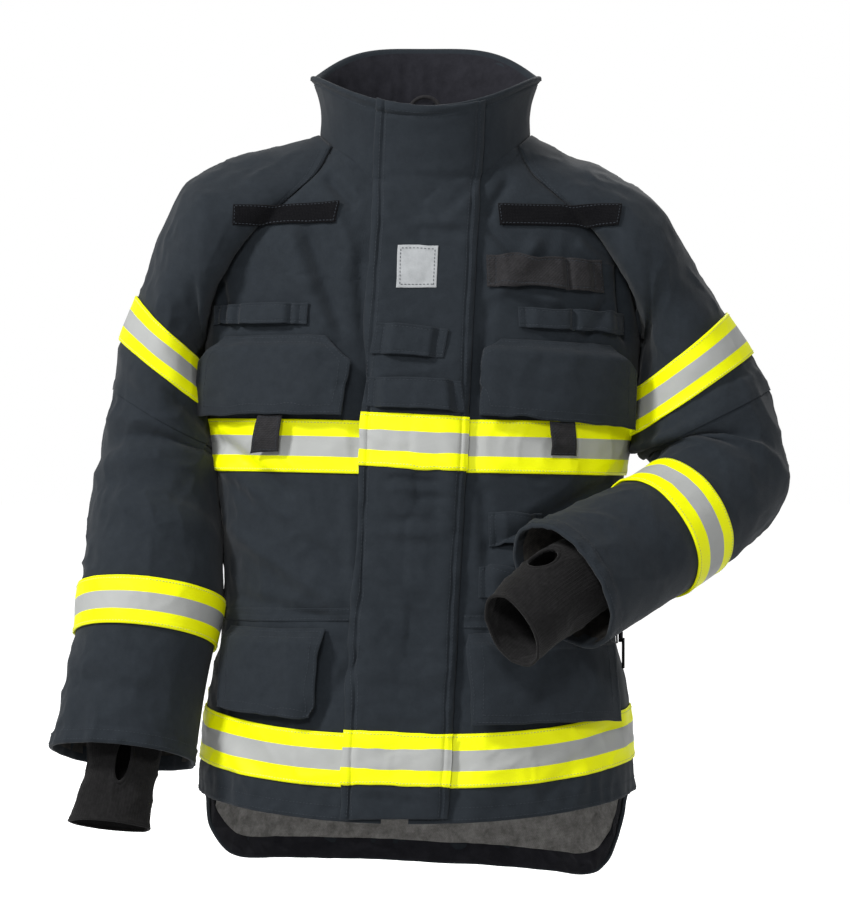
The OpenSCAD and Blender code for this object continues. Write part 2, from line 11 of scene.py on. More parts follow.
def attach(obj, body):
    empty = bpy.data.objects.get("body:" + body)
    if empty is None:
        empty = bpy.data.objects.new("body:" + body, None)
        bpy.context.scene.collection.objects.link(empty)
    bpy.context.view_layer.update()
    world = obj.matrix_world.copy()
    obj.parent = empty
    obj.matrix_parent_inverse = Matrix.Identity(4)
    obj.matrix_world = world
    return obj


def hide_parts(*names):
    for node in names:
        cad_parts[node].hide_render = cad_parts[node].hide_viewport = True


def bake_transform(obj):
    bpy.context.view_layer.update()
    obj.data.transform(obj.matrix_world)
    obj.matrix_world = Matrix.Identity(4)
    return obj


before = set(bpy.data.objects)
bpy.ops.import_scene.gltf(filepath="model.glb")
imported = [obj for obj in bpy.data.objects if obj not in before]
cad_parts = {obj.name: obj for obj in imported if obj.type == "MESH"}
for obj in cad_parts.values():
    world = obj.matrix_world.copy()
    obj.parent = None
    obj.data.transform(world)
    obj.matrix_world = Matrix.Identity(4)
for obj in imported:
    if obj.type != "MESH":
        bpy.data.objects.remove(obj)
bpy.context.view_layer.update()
rng = np.random.default_rng(7)

# ---------------------------------------------------------------- surfaces
# Torso levels from the neckline to the hem:
# half width, front depth, back depth, front z, side z, back z, roundness
LEVELS = np.array([
    [105, 100, 78, -45, 16, 40, 2.0], [150, 102, 90, -58, -4, 20, 2.1], [188, 105, 103, -75, -27, -5, 2.2],
    [208, 109, 115, -103, -62, -40, 2.3], [216, 114, 128, -145, -120, -95, 2.35],
    [217, 120, 136, -198, -190, -180, 2.4],
    [212, 126, 140, -255, -250, -245, 2.45], [205, 132, 141, -312, -312, -312, 2.45],
    [198, 137, 139, -370, -370, -370, 2.45],
    [194, 142, 137, -430, -430, -430, 2.45], [197, 146, 138, -490, -490, -490, 2.45],
    [204, 149, 141, -530, -520, -560, 2.45],
    [209, 152, 144, -566, -549, -610, 2.45], [213, 156, 147, -617, -600, -670, 2.45],
    [216, 159, 149, -653, -635, -729, 2.45],
], float)
SEAM_FRONT = np.array([90, 106, 130, 160, 200, 217], float)
SEAM_BACK = np.array([78, 95, 115, 140, 178, 217], float)
LAST = len(LEVELS) - 1


def ease(t):
    t = np.clip(t, 0, 1)
    return t * t * (3 - 2 * t)


def bell(t, width):
    return np.exp(-((t / width) ** 2))


def unit(v):
    return v / np.maximum(np.linalg.norm(v, axis=-1, keepdims=True), 1e-9)


def distances(p):
    """Distance from the first of a line of points to each of them."""
    return np.concatenate([[0], np.cumsum(np.linalg.norm(np.diff(p, axis=0), axis=1))])


def spline(table, t):
    """A smooth curve through the rows of a table, at row numbers t."""
    table = np.asarray(table, float)
    n = len(table)
    t = np.clip(np.asarray(t, float), 0, n - 1)
    i = np.minimum(t.astype(int), n - 2)
    f = (t - i).reshape(t.shape + (1,) * (table.ndim - 1))
    b, c = table[i], table[i + 1]
    first = (i == 0).reshape(f.shape)
    final = (i == n - 2).reshape(f.shape)
    a = np.where(first, 2 * b - c, table[np.maximum(i - 1, 0)])
    d = np.where(final, 2 * c - b, table[np.minimum(i + 2, n - 1)])
    return b + 0.5 * f * (c - a + f * (2 * a - 5 * b + 4 * c - d + f * (3 * (b - c) + d - a)))


def lean(z):
    return 5 + 0.014 * z


def torso(level, angle):
    """The torso's outer face; angle is 0 at the front, 90 at the wearer's left and 180 at the back."""
    level, angle = np.broadcast_arrays(np.asarray(level, float), np.radians(np.asarray(angle, float)))
    r = spline(LEVELS, level)
    e, s, c = 2 / r[..., 6], np.sin(angle), np.cos(angle)
    x = r[..., 0] * np.sign(s) * np.abs(s) ** e
    y = -np.where(c > 0, r[..., 1], r[..., 2]) * np.sign(c) * np.abs(c) ** e
    share = np.abs(x) / r[..., 0]
    low = ease((level - 10) / 2)
    q = share ** np.where(c < 0, 2 + 18 * low, 2)
    z = np.where(c > 0, r[..., 3], r[..., 5] - 0.05 * x * low) * (1 - q) + r[..., 4] * q
    return np.stack([x + lean(z), y, z], -1)


def angle_at(x, level):
    r = spline(LEVELS, level)
    share = np.clip(np.abs(x) / r[..., 0], 0, 1)
    return np.sign(x) * np.degrees(np.arcsin(share ** (r[..., 6] / 2)))


def centre_x(z):
    return 7 + 0.051 * (z + 45)


def upper_ring(top, bottom, y, depth):
    return [[(top[0] + bottom[0]) / 2, y, (top[1] + bottom[1]) / 2],
            [(top[0] - bottom[0]) / 2, 0, (top[1] - bottom[1]) / 2], [0, -depth, 0]]


def ring(centre, out, front, w, d):
    out, front = np.array(out) / np.linalg.norm(out), np.array(front) / np.linalg.norm(front)
    return [centre, out * w, front * d]


R_OUT, R_FRONT = (-0.995, 0, 0.1), (0, -0.957, 0.29)
L_OUT, L_FRONT = (0.54, -0.085, -0.837), (0.453, -0.811, 0.372)
ARMS = {
    -1: np.array([
        upper_ring((-188, -9), (-213, -190), 0, 104), upper_ring((-229, -28), (-213, -194), 0, 100),
        upper_ring((-250, -66), (-214, -199), 0, 95), upper_ring((-264, -100), (-215, -204), 0, 90),
        upper_ring((-279, -143), (-216, -212), 0, 86), upper_ring((-297, -190), (-209, -262), 0, 82),
        upper_ring((-306, -238), (-206, -299), 0, 78), ring((-262, -10, -318), R_OUT, R_FRONT, 58, 74),
        ring((-261, -40, -378), R_OUT, R_FRONT, 66, 71), ring((-262, -62, -438), R_OUT, R_FRONT, 71, 67),
        ring((-268, -72, -487), R_OUT, R_FRONT, 68, 65), ring((-278, -80, -542), R_OUT, R_FRONT, 68, 64),
        ring((-286, -90, -596), R_OUT, R_FRONT, 70, 63)]),
    1: np.array([
        upper_ring((182, -20), (221, -188), 0, 104), upper_ring((227, -44), (223, -191), 0, 100),
        upper_ring((253, -76), (223, -195), 0, 95), upper_ring((272, -110), (219, -206), 0, 90),
        upper_ring((302, -160), (216, -236), -3, 84), upper_ring((330, -204), (211, -286), -10, 80),
        upper_ring((344, -240), (216, -304), -20, 78), ring((296, -42, -322), (0.862, 0.292, -0.414), L_FRONT,
                                                            71, 68),
        ring((275, -72, -350), L_OUT, L_FRONT, 63, 61), ring((258, -92, -364), L_OUT, L_FRONT, 60, 58),
        ring((220, -124, -386), L_OUT, L_FRONT, 61, 56), ring((177, -160, -407), L_OUT, L_FRONT, 63, 55),
        ring((134, -196, -427), L_OUT, L_FRONT, 66, 56)]),
}
WRISTLETS = {
    -1: np.array([ring((-281, -77, -556), R_OUT, R_FRONT, 36, 28), ring((-290, -92, -612), R_OUT, R_FRONT, 35,
                                                                        26),
                  ring((-299, -107, -660), R_OUT, R_FRONT, 38, 25)]),
    1: np.array([ring((152, -181, -418), L_OUT, L_FRONT, 40, 34), ring((118, -214, -438), L_OUT, L_FRONT, 39,
                                                                       33),
                 ring((84, -247, -465), L_OUT, L_FRONT, 36, 31)]),
}


def raglan(side, turn):
    """The loop where a sleeve joins the body: over the neckline, then down both seams to the armpit."""
    t = (turn + 180) % 360 - 180
    back, k = t < 0, np.abs(t)
    level = np.where(k < 28, 0, 5 * (k - 28) / 152)
    edge = np.where(back, spline(SEAM_BACK, level), spline(SEAM_FRONT, level)) + 1
    edge = np.minimum(edge, spline(LEVELS, level)[..., 0])
    corner = np.where(back, angle_at(78.0, 0.0), angle_at(90.0, 0.0))
    angle = np.where(k < 28, 90 + (corner - 90) * k / 28, angle_at(edge, level))
    return torso(level + 0.03, side * np.where(back, 180 - angle, angle))


def tube(rings, turn, start=None):
    """The rings' points at each turn; start is a first ring of another shape."""
    t = np.radians(turn)[:, None]
    rows = [c + np.cos(t) * a + np.sin(t) * b for c, a, b in rings]
    return np.stack(([start] if start is not None else []) + rows, 0)


# ---------------------------------------------------------------- folds
LATTICE = rng.random((32, 32, 32))


def noise(p, scale):
    """Smooth noise from -1 to 1 at points p, with features about scale wide; scale may differ by axis."""
    q = p / np.asarray(scale, float)
    i = np.floor(q).astype(int)
    f = q - i
    f = f * f * f * (f * (6 * f - 15) + 10)
    total = 0
    for dx in (0, 1):
        for dy in (0, 1):
            for dz in (0, 1):
                w = np.abs(1 - dx - f[..., 0]) * np.abs(1 - dy - f[..., 1]) * np.abs(1 - dz - f[..., 2])
                total = total + w * LATTICE[(i[..., 0] + dx) % 32, (i[..., 1] + dy) % 32, (i[..., 2] + dz) % 32]
    return 2 * total - 1


def ridges(p, scale, bend=0.5):
    """Long rounded wrinkles with narrow valleys between them, from 0 to 1."""
    scale = np.asarray(scale, float) * np.ones(3)
    w = np.stack([noise(p + 91, scale * 1.7), noise(p + 37, scale * 1.7), noise(p + 13, scale * 1.7)], -1)
    return 1 - np.abs(noise(p + w * scale * bend, scale)) ** 0.7


def crease(a, b, c, d, width):
    """A soft bump of height 1 along the line from (c[0], c[1]) to (d[0], d[1]), over coordinates a and b."""
    dx, dy = d[0] - c[0], d[1] - c[1]
    t = np.clip(((a - c[0]) * dx + (b - c[1]) * dy) / (dx * dx + dy * dy), 0, 1)
    far = np.hypot(a - c[0] - t * dx, b - c[1] - t * dy)
    return bell(far, width) * ease(4 * t + 0.3) * ease(4 * (1 - t) + 0.3)


def normals(p, closed=False):
    """Unit normals of a grid of points whose first index goes round and second goes along."""
    if closed:
        du = np.roll(p, -1, 0) - np.roll(p, 1, 0)
    else:
        du = np.gradient(p, axis=0)
    n = np.cross(du, np.gradient(p, axis=1))
    return unit(n)


def out_from(p, n, centre):
    """Turns normals to point away from centre."""
    flip = np.mean(np.sum((p - centre) * n, -1)) < 0
    return -n if flip else n


# ---------------------------------------------------------------- meshes
def add_mesh(name, points, faces, uvs=None, smooth=True):
    mesh = bpy.data.meshes.new(name)
    mesh.from_pydata((np.asarray(points) * 0.001).tolist(), [], faces)
    if uvs is not None:
        layer = mesh.uv_layers.new(name="UVMap")
        index = np.zeros(len(mesh.loops), int)
        mesh.loops.foreach_get("vertex_index", index)
        layer.data.foreach_set("uv", np.asarray(uvs)[index].astype(np.float32).ravel())
    mesh.polygons.foreach_set("use_smooth", [smooth] * len(mesh.polygons))
    mesh.validate()
    mesh.update()
    obj = bpy.data.objects.new(name, mesh)
    bpy.context.scene.collection.objects.link(obj)
    return obj


def grid_uv(p):
    """Distances across and along a grid of points, in metres, as texture coordinates."""
    du = np.linalg.norm(np.diff(p, axis=0), axis=-1)
    dv = np.linalg.norm(np.diff(p, axis=1), axis=-1)
    u = np.concatenate([np.zeros((1, p.shape[1])), np.cumsum(du, 0)], 0)
    v = np.concatenate([np.zeros((p.shape[0], 1)), np.cumsum(dv, 1)], 1)
    mid = p.shape[0] // 2
    u = u - u[mid : mid + 1]
    return np.stack([u, np.broadcast_to(v.mean(0)[None, :], v.shape)], -1).reshape(-1, 2) * 0.001


def grid_faces(nu, nv, closed=False, offset=0, flip=False):
    i, j = np.meshgrid(np.arange(nu if closed else nu - 1), np.arange(nv - 1), indexing="ij")
    k = (i + 1) % nu
    f = np.stack([i * nv + j, k * nv + j, k * nv + j + 1, i * nv + j + 1], -1).reshape(-1, 4) + offset
    return (f[:, ::-1] if flip else f).tolist()


def sheet_mesh(name, p, closed=False, outward=None, keep=None):
    """One layer of cloth from a grid of points. outward is a point inside it, so that its faces look out."""
    nu, nv = p.shape[:2]
    n = normals(p, closed)
    flip = outward is not None and np.mean(np.sum((p - outward) * n, -1)) < 0
    faces = grid_faces(nu, nv, closed, 0, flip)
    if keep is not None:
        faces = [f for f, k in zip(faces, keep.ravel()) if k]
    return add_mesh(name, p.reshape(-1, 3), faces, grid_uv(p))


def slab_mesh(name, top, bottom):
    """A closed piece between two grids of points."""
    nu, nv = top.shape[:2]
    n = normals(top)
    flip = np.mean(np.sum((top - bottom) * n, -1)) < 0
    faces = grid_faces(nu, nv, False, 0, flip) + grid_faces(nu, nv, False, nu * nv, not flip)
    rim = [(i, 0) for i in range(nu)] + [(nu - 1, j) for j in range(1, nv)]
    rim += [(i, nv - 1) for i in range(nu - 2, -1, -1)] + [(0, j) for j in range(nv - 2, 0, -1)]
    at = [i * nv + j for i, j in rim]
    for a, b in zip(at, at[1:] + at[:1]):
        f = [a, b, b + nu * nv, a + nu * nv]
        faces.append(f if flip else f[::-1])
    uv = grid_uv(top)
    return add_mesh(name, np.concatenate([top.reshape(-1, 3), bottom.reshape(-1, 3)]), faces,
                    np.concatenate([uv, uv]))


def stem(name):
    """The node that a trim stands for: its own name without the last word."""
    return (name.rsplit("_", 1)[0],)


def finish_piece(obj, mat, body=None, replaces=()):
    obj.data.materials.clear()
    obj.data.materials.append(mat)
    if body:
        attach(obj, body)
    if replaces:
        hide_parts(*replaces)
    return obj


# ---------------------------------------------------------------- materials
def material(name, colour, rough, build=None, **sockets):
    mat = bpy.data.materials.new(name)
    mat.use_nodes = True
    tree = mat.node_tree
    shader = tree.nodes["Principled BSDF"]
    shader.inputs["Base Color"].default_value = (*colour, 1)
    shader.inputs["Roughness"].default_value = rough
    for key, value in sockets.items():
        shader.inputs[key.replace("_", " ")].default_value = value
    if build:
        build(tree, shader)
    return mat


def node(tree, kind, links=(), **values):
    """A node with attributes and unlinked inputs set by name, and inputs linked from (socket, input) pairs."""
    new = tree.nodes.new(kind)
    for key, value in values.items():
        if key.startswith("in_"):
            new.inputs[int(key[3:])].default_value = value
        else:
            setattr(new, key, value)
    for source, target in links:
        tree.links.new(source, new.inputs[target])
    return new


def uv_scaled(tree, sx, sy):
    uv = node(tree, "ShaderNodeUVMap")
    return node(tree, "ShaderNodeMapping", [(uv.outputs[0], 0)], in_3=(sx, sy, 1)).outputs[0]


def object_noise(tree, scale, detail=4, rough=0.6):
    co = node(tree, "ShaderNodeTexCoord").outputs["Object"]
    return (node(tree, "ShaderNodeTexNoise", [(co, "Vector")], in_2=scale, in_3=detail,
                 in_4=rough).outputs["Fac"])


def two_tone(tree, fac, low, high, dark, light):
    """Colour that runs from dark to light as fac goes from low to high."""
    ramp = node(tree, "ShaderNodeValToRGB", [(fac, 0)])
    ramp.color_ramp.elements[0].position, ramp.color_ramp.elements[1].position = low, high
    ramp.color_ramp.elements[0].color, ramp.color_ramp.elements[1].color = (*dark, 1), (*light, 1)
    return ramp.outputs[0]


def weave_height(tree, pitch, twill=True):
    """Height of a weave with threads pitch metres apart."""
    k = 1 / pitch
    warp = node(tree, "ShaderNodeTexWave", [(uv_scaled(tree, k, k if twill else 0), 0)], in_1=0.32, in_2=0.4,
                in_3=2,
                bands_direction="DIAGONAL" if twill else "X")
    weft = node(tree, "ShaderNodeTexWave", [(uv_scaled(tree, k, k), 0)], in_1=0.32, bands_direction="Y")
    return (node(tree, "ShaderNodeMath", [(warp.outputs["Fac"], 0), (weft.outputs["Fac"], 1)],
                 operation="MULTIPLY").outputs[0])


def bump(tree, shader, height, strength, distance, under=None):
    links = [(height, "Height")] + ([(under, "Normal")] if under else [])
    new = node(tree, "ShaderNodeBump", links)
    new.inputs["Strength"].default_value = strength
    new.inputs["Distance"].default_value = distance
    tree.links.new(new.outputs[0], shader.inputs["Normal"])
    return new.outputs[0]


def cloth(dark, light, pitch=0.0009, strength=0.35, twill=True, mottle=60, low=0.35, high=0.65):
    def build(tree, shader):
        tone = two_tone(tree, object_noise(tree, mottle, 8, 0.8), low, high, dark, light)
        tree.links.new(tone, shader.inputs["Base Color"])
        soft = bump(tree, shader, object_noise(tree, 420, 3, 0.6), 0.25, 0.0006)
        bump(tree, shader, weave_height(tree, pitch, twill), strength, 0.0004, soft)
    return build


def tape_look(tree, shader):
    """Fluorescent yellow at both edges with a painted glow on them, and a retroreflective grey middle, by the
    distance across the tape.
    """
    uv = node(tree, "ShaderNodeUVMap").outputs[0]
    across = node(tree, "ShaderNodeSeparateXYZ", [(uv, 0)]).outputs[1]
    share = node(tree, "ShaderNodeMath", [(across, 0)], operation="MULTIPLY", in_1=20).outputs[0]
    # the second row sets a painted glow: emission at the yellow edges, none in the middle
    for edge, middle, socket in (((0.86, 0.9, 0.0, 1), (0.4, 0.41, 0.4, 1), "Base Color"),
                                 ((0.1, 0.105, 0.0, 1), (0, 0, 0, 1), "Emission Color")):
        ramp = node(tree, "ShaderNodeValToRGB", [(share, 0)])
        ramp.color_ramp.interpolation = "CONSTANT"
        stops = ramp.color_ramp.elements
        stops[0].position, stops[0].color = 0.0, edge
        stops[1].position, stops[1].color = 0.31, middle
        stops.new(0.69).color = edge
        tree.links.new(ramp.outputs[0], shader.inputs[socket])
    # strength of the painted glow on the yellow edges
    shader.inputs["Emission Strength"].default_value = 1.0
    soft = bump(tree, shader, object_noise(tree, 260, 3, 0.6), 0.15, 0.0005)
    bump(tree, shader, weave_height(tree, 0.0011, False), 0.3, 0.0003, soft)


def steel_look(tree, shader):
    tone = two_tone(tree, object_noise(tree, 900, 3, 0.6), 0.3, 0.7, (0.2, 0.2, 0.21), (0.42, 0.42, 0.43))
    tree.links.new(tone, shader.inputs["Base Color"])
    bump(tree, shader, object_noise(tree, 2500, 2, 0.5), 0.2, 0.0001)


NAVY = material("shell_cloth", (0.016, 0.022, 0.03), 0.85,
                cloth((0.0125, 0.0165, 0.0215), (0.0175, 0.0225, 0.0285), mottle=110), Sheen_Weight=0.06,
                Sheen_Roughness=0.5, Specular_IOR_Level=0.16)
EDGE = material("edge_cloth", (0.016, 0.022, 0.03), 0.85,
                cloth((0.0125, 0.0165, 0.0215), (0.0175, 0.0225, 0.0285), mottle=130), Sheen_Weight=0.06,
                Specular_IOR_Level=0.16)
BLACK = material("hook_and_loop", (0.004, 0.004, 0.005), 0.95,
                 cloth((0.002, 0.002, 0.003), (0.007, 0.007, 0.008), 0.0016, 0.9, False, 700),
                 Sheen_Weight=0.04, Specular_IOR_Level=0.06)
WEBBING = material("webbing", (0.02, 0.019, 0.021), 0.8,
                   cloth((0.013, 0.0125, 0.0135), (0.026, 0.025, 0.027), 0.0018, 0.8, True, 160),
                   Sheen_Weight=0.05, Specular_IOR_Level=0.14)
KNIT = material("knit", (0.008, 0.008, 0.009), 0.92,
                cloth((0.008, 0.0078, 0.008), (0.0165, 0.016, 0.0165), 0.0015, 0.5, False, 240),
                Sheen_Weight=0.08, Sheen_Roughness=0.4, Specular_IOR_Level=0.08)
LINING = material("lining_cloth", (0.25, 0.245, 0.235), 0.75,
                  cloth((0.17, 0.165, 0.157), (0.36, 0.35, 0.335), 0.0012, 0.5, True, 85, 0.38, 0.62),
                  Specular_IOR_Level=0.2)
# the lining inside the cuffs: the lining cloth's recipe painted about six times darker, as painted shade of the
# sleeve's inside
CUFF_LINING_PAINTED_SHADE = material("cuff_lining_painted_shade", (0.04, 0.037, 0.034), 0.75,
                cloth((0.022, 0.02, 0.019), (0.06, 0.056, 0.05), 0.0012, 0.5, True, 85, 0.38, 0.62),
                Specular_IOR_Level=0.15)
FACING = material("facing_cloth", (0.008, 0.008, 0.012), 0.8,
                  cloth((0.009, 0.009, 0.0125), (0.018, 0.018, 0.0235), 0.0009, 0.4), Sheen_Weight=0.05,
                  Specular_IOR_Level=0.12)
# tape cloth, with a painted glow at its yellow edges
TAPE = material("reflective_tape", (0.86, 0.9, 0.0), 0.5, tape_look, Specular_IOR_Level=0.15)
LABEL = material("label_cloth", (0.36, 0.37, 0.38), 0.6, cloth((0.33, 0.345, 0.355), (0.42, 0.435, 0.45),
                                                               0.0007, 0.4), Specular_IOR_Level=0.2)
THREAD = material("thread", (0.028, 0.034, 0.042), 0.75, cloth((0.022, 0.027, 0.034), (0.036, 0.043, 0.052),
                                                               0.0004, 0.5), Specular_IOR_Level=0.2)
PALE_THREAD = material("tape_thread", (0.5, 0.52, 0.2), 0.7, cloth((0.4, 0.42, 0.12), (0.6, 0.62, 0.3), 0.0004,
                                                                   0.5), Specular_IOR_Level=0.2)
STEEL = material("zip_metal", (0.3, 0.3, 0.31), 0.35, steel_look, Metallic=1.0)

# ---------------------------------------------------------------- stitching
stitch_lists = {}


def stitch(points, up, body, thread="THREAD", pitch=3.6, length=2.5):
    """A row of stitches along a line of points, lying on a surface whose normals are up."""
    s = distances(points)
    if s[-1] < pitch:
        return
    mids = np.arange(pitch / 2, s[-1], pitch)

    def read(table, places):
        return np.stack([np.interp(places, s, table[:, k]) for k in range(3)], 1)

    at, n = read(points, mids), unit(read(up, mids))
    t = unit(read(points, mids + 0.5) - read(points, mids - 0.5))
    w = np.cross(t, n)
    stitch_lists.setdefault((body, thread), []).append((at, t, n, w, length))


def build_stitches():
    for (body, thread), rows in stitch_lists.items():
        points, faces, base = [], [], 0
        for at, t, n, w, length in rows:
            ends = ([(-0.5, 0, -0.25), (-0.28, 0.3, 0.32), (-0.28, -0.3, 0.32), (0.28, 0.3, 0.32),
                     (0.28, -0.3, 0.32), (0.5, 0, -0.25)])
            block = np.stack([at + t * a * length + w * b + n * c for a, b, c in ends], 1)
            points.append(block.reshape(-1, 3))
            k = (np.arange(len(at)) * 6 + base)[:, None, None]
            shape = np.array([[0, 2, 1, 1], [1, 2, 4, 3], [3, 4, 5, 5], [0, 1, 3, 5], [2, 0, 5, 4]])[None]
            faces += (k + shape).reshape(-1, 4).tolist()
            base += len(at) * 6
        faces = [list(dict.fromkeys(f)) for f in faces]
        obj = add_mesh(f"stitching_{body}_{thread.lower()}", np.concatenate(points), faces, smooth=False)
        finish_piece(obj, {"THREAD": THREAD, "PALE": PALE_THREAD}[thread], body, ())


# ---------------------------------------------------------------- torso shell
def flap_left(z):
    return centre_x(z) - 50.5


def flap_right(z):
    return centre_x(z) + 50.5


TORSO_FOLDS = [  # on the front, from (x, z) to (x, z), height, width
    ((-128, -84), (-100, -150), 3.4, 11), ((-112, -78), (-74, -190), -3.2, 9),
    ((-150, -90), (-78, -196), 3.0, 14),
    ((-92, -30), (-62, -66), -3.0, 8), ((-84, -62), (-60, -120), 2.2, 9), ((-196, -128), (-190, -178), -3.4, 8),
    ((-60, -110), (-48, -250), -2.8, 7), ((88, -34), (64, -74), -3.0, 8), ((118, -92), (76, -150), 2.6, 10),
    ((64, -82), (100, -118), -2.4, 7), ((72, -142), (140, -158), 2.2, 7), ((150, -96), (190, -128), 2.6, 9),
    ((196, -112), (206, -196), -5.0, 8), ((186, -150), (160, -192), -2.6, 8), ((66, -152), (60, -250), -2.4, 7),
    ((-205, -285), (-120, -345), -3.4, 12), ((-205, -305), (-100, -395), 3.4, 14),
    ((-196, -320), (-66, -420), -3.0, 11),
    ((-190, -372), (-70, -452), 2.8, 12), ((-184, -440), (-80, -462), -2.4, 9),
    ((-70, -330), (-62, -450), 2.0, 9),
    ((205, -322), (62, -396), -3.4, 11), ((204, -352), (60, -424), 3.2, 12), ((200, -384), (90, -440), -2.8, 9),
    ((196, -440), (56, -458), -2.8, 9), ((192, -470), (66, -480), 2.6, 11), ((60, -330), (66, -420), -2.0, 8),
    ((-40, -480), (-110, -560), -1.8, 10), ((196, -560), (120, -625), -2.2, 11),
    ((-206, -560), (-150, -630), 2.0, 12)]


MIDDLE = np.array([0, 0, -350])  # a point inside the torso


def torso_normals(p):
    return out_from(p, normals(p), MIDDLE)


def torso_folds(p):
    """How far the shell stands off its smooth shape at points p of the torso."""
    x, y, z = p[..., 0], p[..., 1], p[..., 2]
    front = ease(-y / 60)
    low = ease((-z - 200) / 150)
    d = (2.6 * noise(p, (60, 60, 120)) + 3.6 * (ridges(p, (44, 44, 70)) - 0.5)
         + 1.7 * (ridges(p + 211, (22, 22, 26), 0.9) - 0.5))
    d = d + 0.45 * noise(p, 12)
    d = d * (0.6 + 0.4 * low)
    # drape of the back: a soft hollow between the shoulder blades and folds down from them
    d = d + (1 - front) * 4.0 * (ridges(p + 400, (60, 60, 300), 0.3) - 0.5)
    for side in (-1, 1):
        d = d + (1 - front) * 3.0 * crease(x, z, (side * 168, -170), (side * 70, -360), 18)
        d = d - (1 - front) * 3.0 * crease(x, z, (side * 176, -225), (side * 96, -420), 13)
    for c, e, height, width in TORSO_FOLDS:
        d = d + front * 1.9 * height * crease(x, z, c, e, 0.72 * width)
    # puckers along the hem
    hem = np.where(y < 0, -653 + 17 * (x / 216) ** 2, -729 - 0.05 * x)
    d = d + 1.5 * noise(p + 55, (11, 11, 26)) * bell(z - hem - 14, 20)
    # the panels are drawn in at the centre, under the edges of the storm flap
    for edge in (flap_left(z) - 5, flap_right(z) + 4):
        d = d - front * 2.6 * bell(x - edge, 10)
    return d


def side_dip(angle):
    """The side seams are drawn in."""
    return -1.5 * bell(np.abs(angle) - 90, 2.2) + 0.9 * bell(np.abs(angle) - 93.5, 1.6)


level_z = LEVELS[:, 4]
torso_rows = np.interp(np.linspace(level_z[0], level_z[-1], 230), level_z[::-1], np.arange(LAST, -1, -1.0))
shells = {}


def fold_edge(p, n, depth, width, rows=3):
    """Adds the turned-in edge at the last row of a sheet: down by depth, then back along the inside by width."""
    inward = unit(p[:, -1] - p[:, -2])
    last = p[:, -1]
    extra = ([last - n[:, -1] * depth * 0.3 + inward * 0.6, last - n[:, -1] * depth * 0.7 + inward * 0.6,
              last - n[:, -1] * depth])
    extra += [last - n[:, -1] * depth - inward * width * (k + 1) / rows for k in range(rows)]
    return np.concatenate([p] + [e[:, None] for e in extra], 1)


def under_arm(level, seam, low):
    """The angle where a panel ends: 20 mm under the sleeve down to the armpit, and at low from there on."""
    edge = np.minimum(spline(seam, np.minimum(level, 5)) + 20, spline(LEVELS, level)[..., 0])
    return np.where(level < 5, angle_at(edge, level), low)


def shell(name, node_name, angle, from_front, seam, hem):
    """One panel of the shell, hem mm of it turned in at the bottom; from_front is what side_dip goes by."""
    level = np.broadcast_to(torso_rows[None, :], angle.shape)
    p = torso(level, angle)
    n = torso_normals(p)
    x = np.abs(p[..., 0] - lean(p[..., 2]))
    beyond = np.where(level < 5, x - spline(seam, np.minimum(level, 5)), -99)
    d = torso_folds(p) + side_dip(from_front) - 3.2 * ease((beyond + 1) / 4) - 1.2 * bell(beyond, 5)
    p = fold_edge(p + n * d[..., None], n, 3.0, hem)
    obj = sheet_mesh(name, p, outward=MIDDLE)
    finish_piece(obj, NAVY, "coat", (node_name,))
    return p, obj


def front_shell(side, word):
    level, u = torso_rows[None, :], np.linspace(0, 1, 84)[:, None]
    z = torso(level, side * 4.0)[..., 2]
    start = angle_at(centre_x(z) - lean(z) + side * 13, level)
    under = np.maximum(under_arm(level, SEAM_FRONT, 91.5), 1)
    angle = start + (side * under - start) * u
    shells[side] = shell(f"shell_{word}_front", f"{word}_front_panel", angle, angle, SEAM_FRONT, 14)


def back_shell():
    under = np.minimum(under_arm(torso_rows[None, :], SEAM_BACK, 91.0), 91.0)
    angle = 180 + under * np.linspace(-1, 1, 150)[:, None]
    shell("shell_back", "back_panel", angle, np.abs(angle - 180), SEAM_BACK, 22)


# ---------------------------------------------------------------- sleeves
def sleeve_rows(control, a, b, pitch=3.0):
    """Places along a sleeve about pitch apart, from a to b."""
    t = np.linspace(a, b, 400)
    s = distances(spline(control.mean(1), t))
    return np.interp(np.linspace(0, s[-1], int(s[-1] / pitch) + 2), s, t)


TURNS = np.linspace(0, 360, 168, endpoint=False)
CONTROL = {side: tube(ARMS[side], TURNS, raglan(side, TURNS)) for side in (-1, 1)}


def wrap(a):
    return (a + 180) % 360 - 180


def fold_round(turn, place, at, about, spread, slope, width):
    """A fold that runs part of the way round a sleeve, at place at and turn about, tilted by slope."""
    t = wrap(turn - about)
    return bell(place - at - slope * t / 90, width) * bell(t, spread)


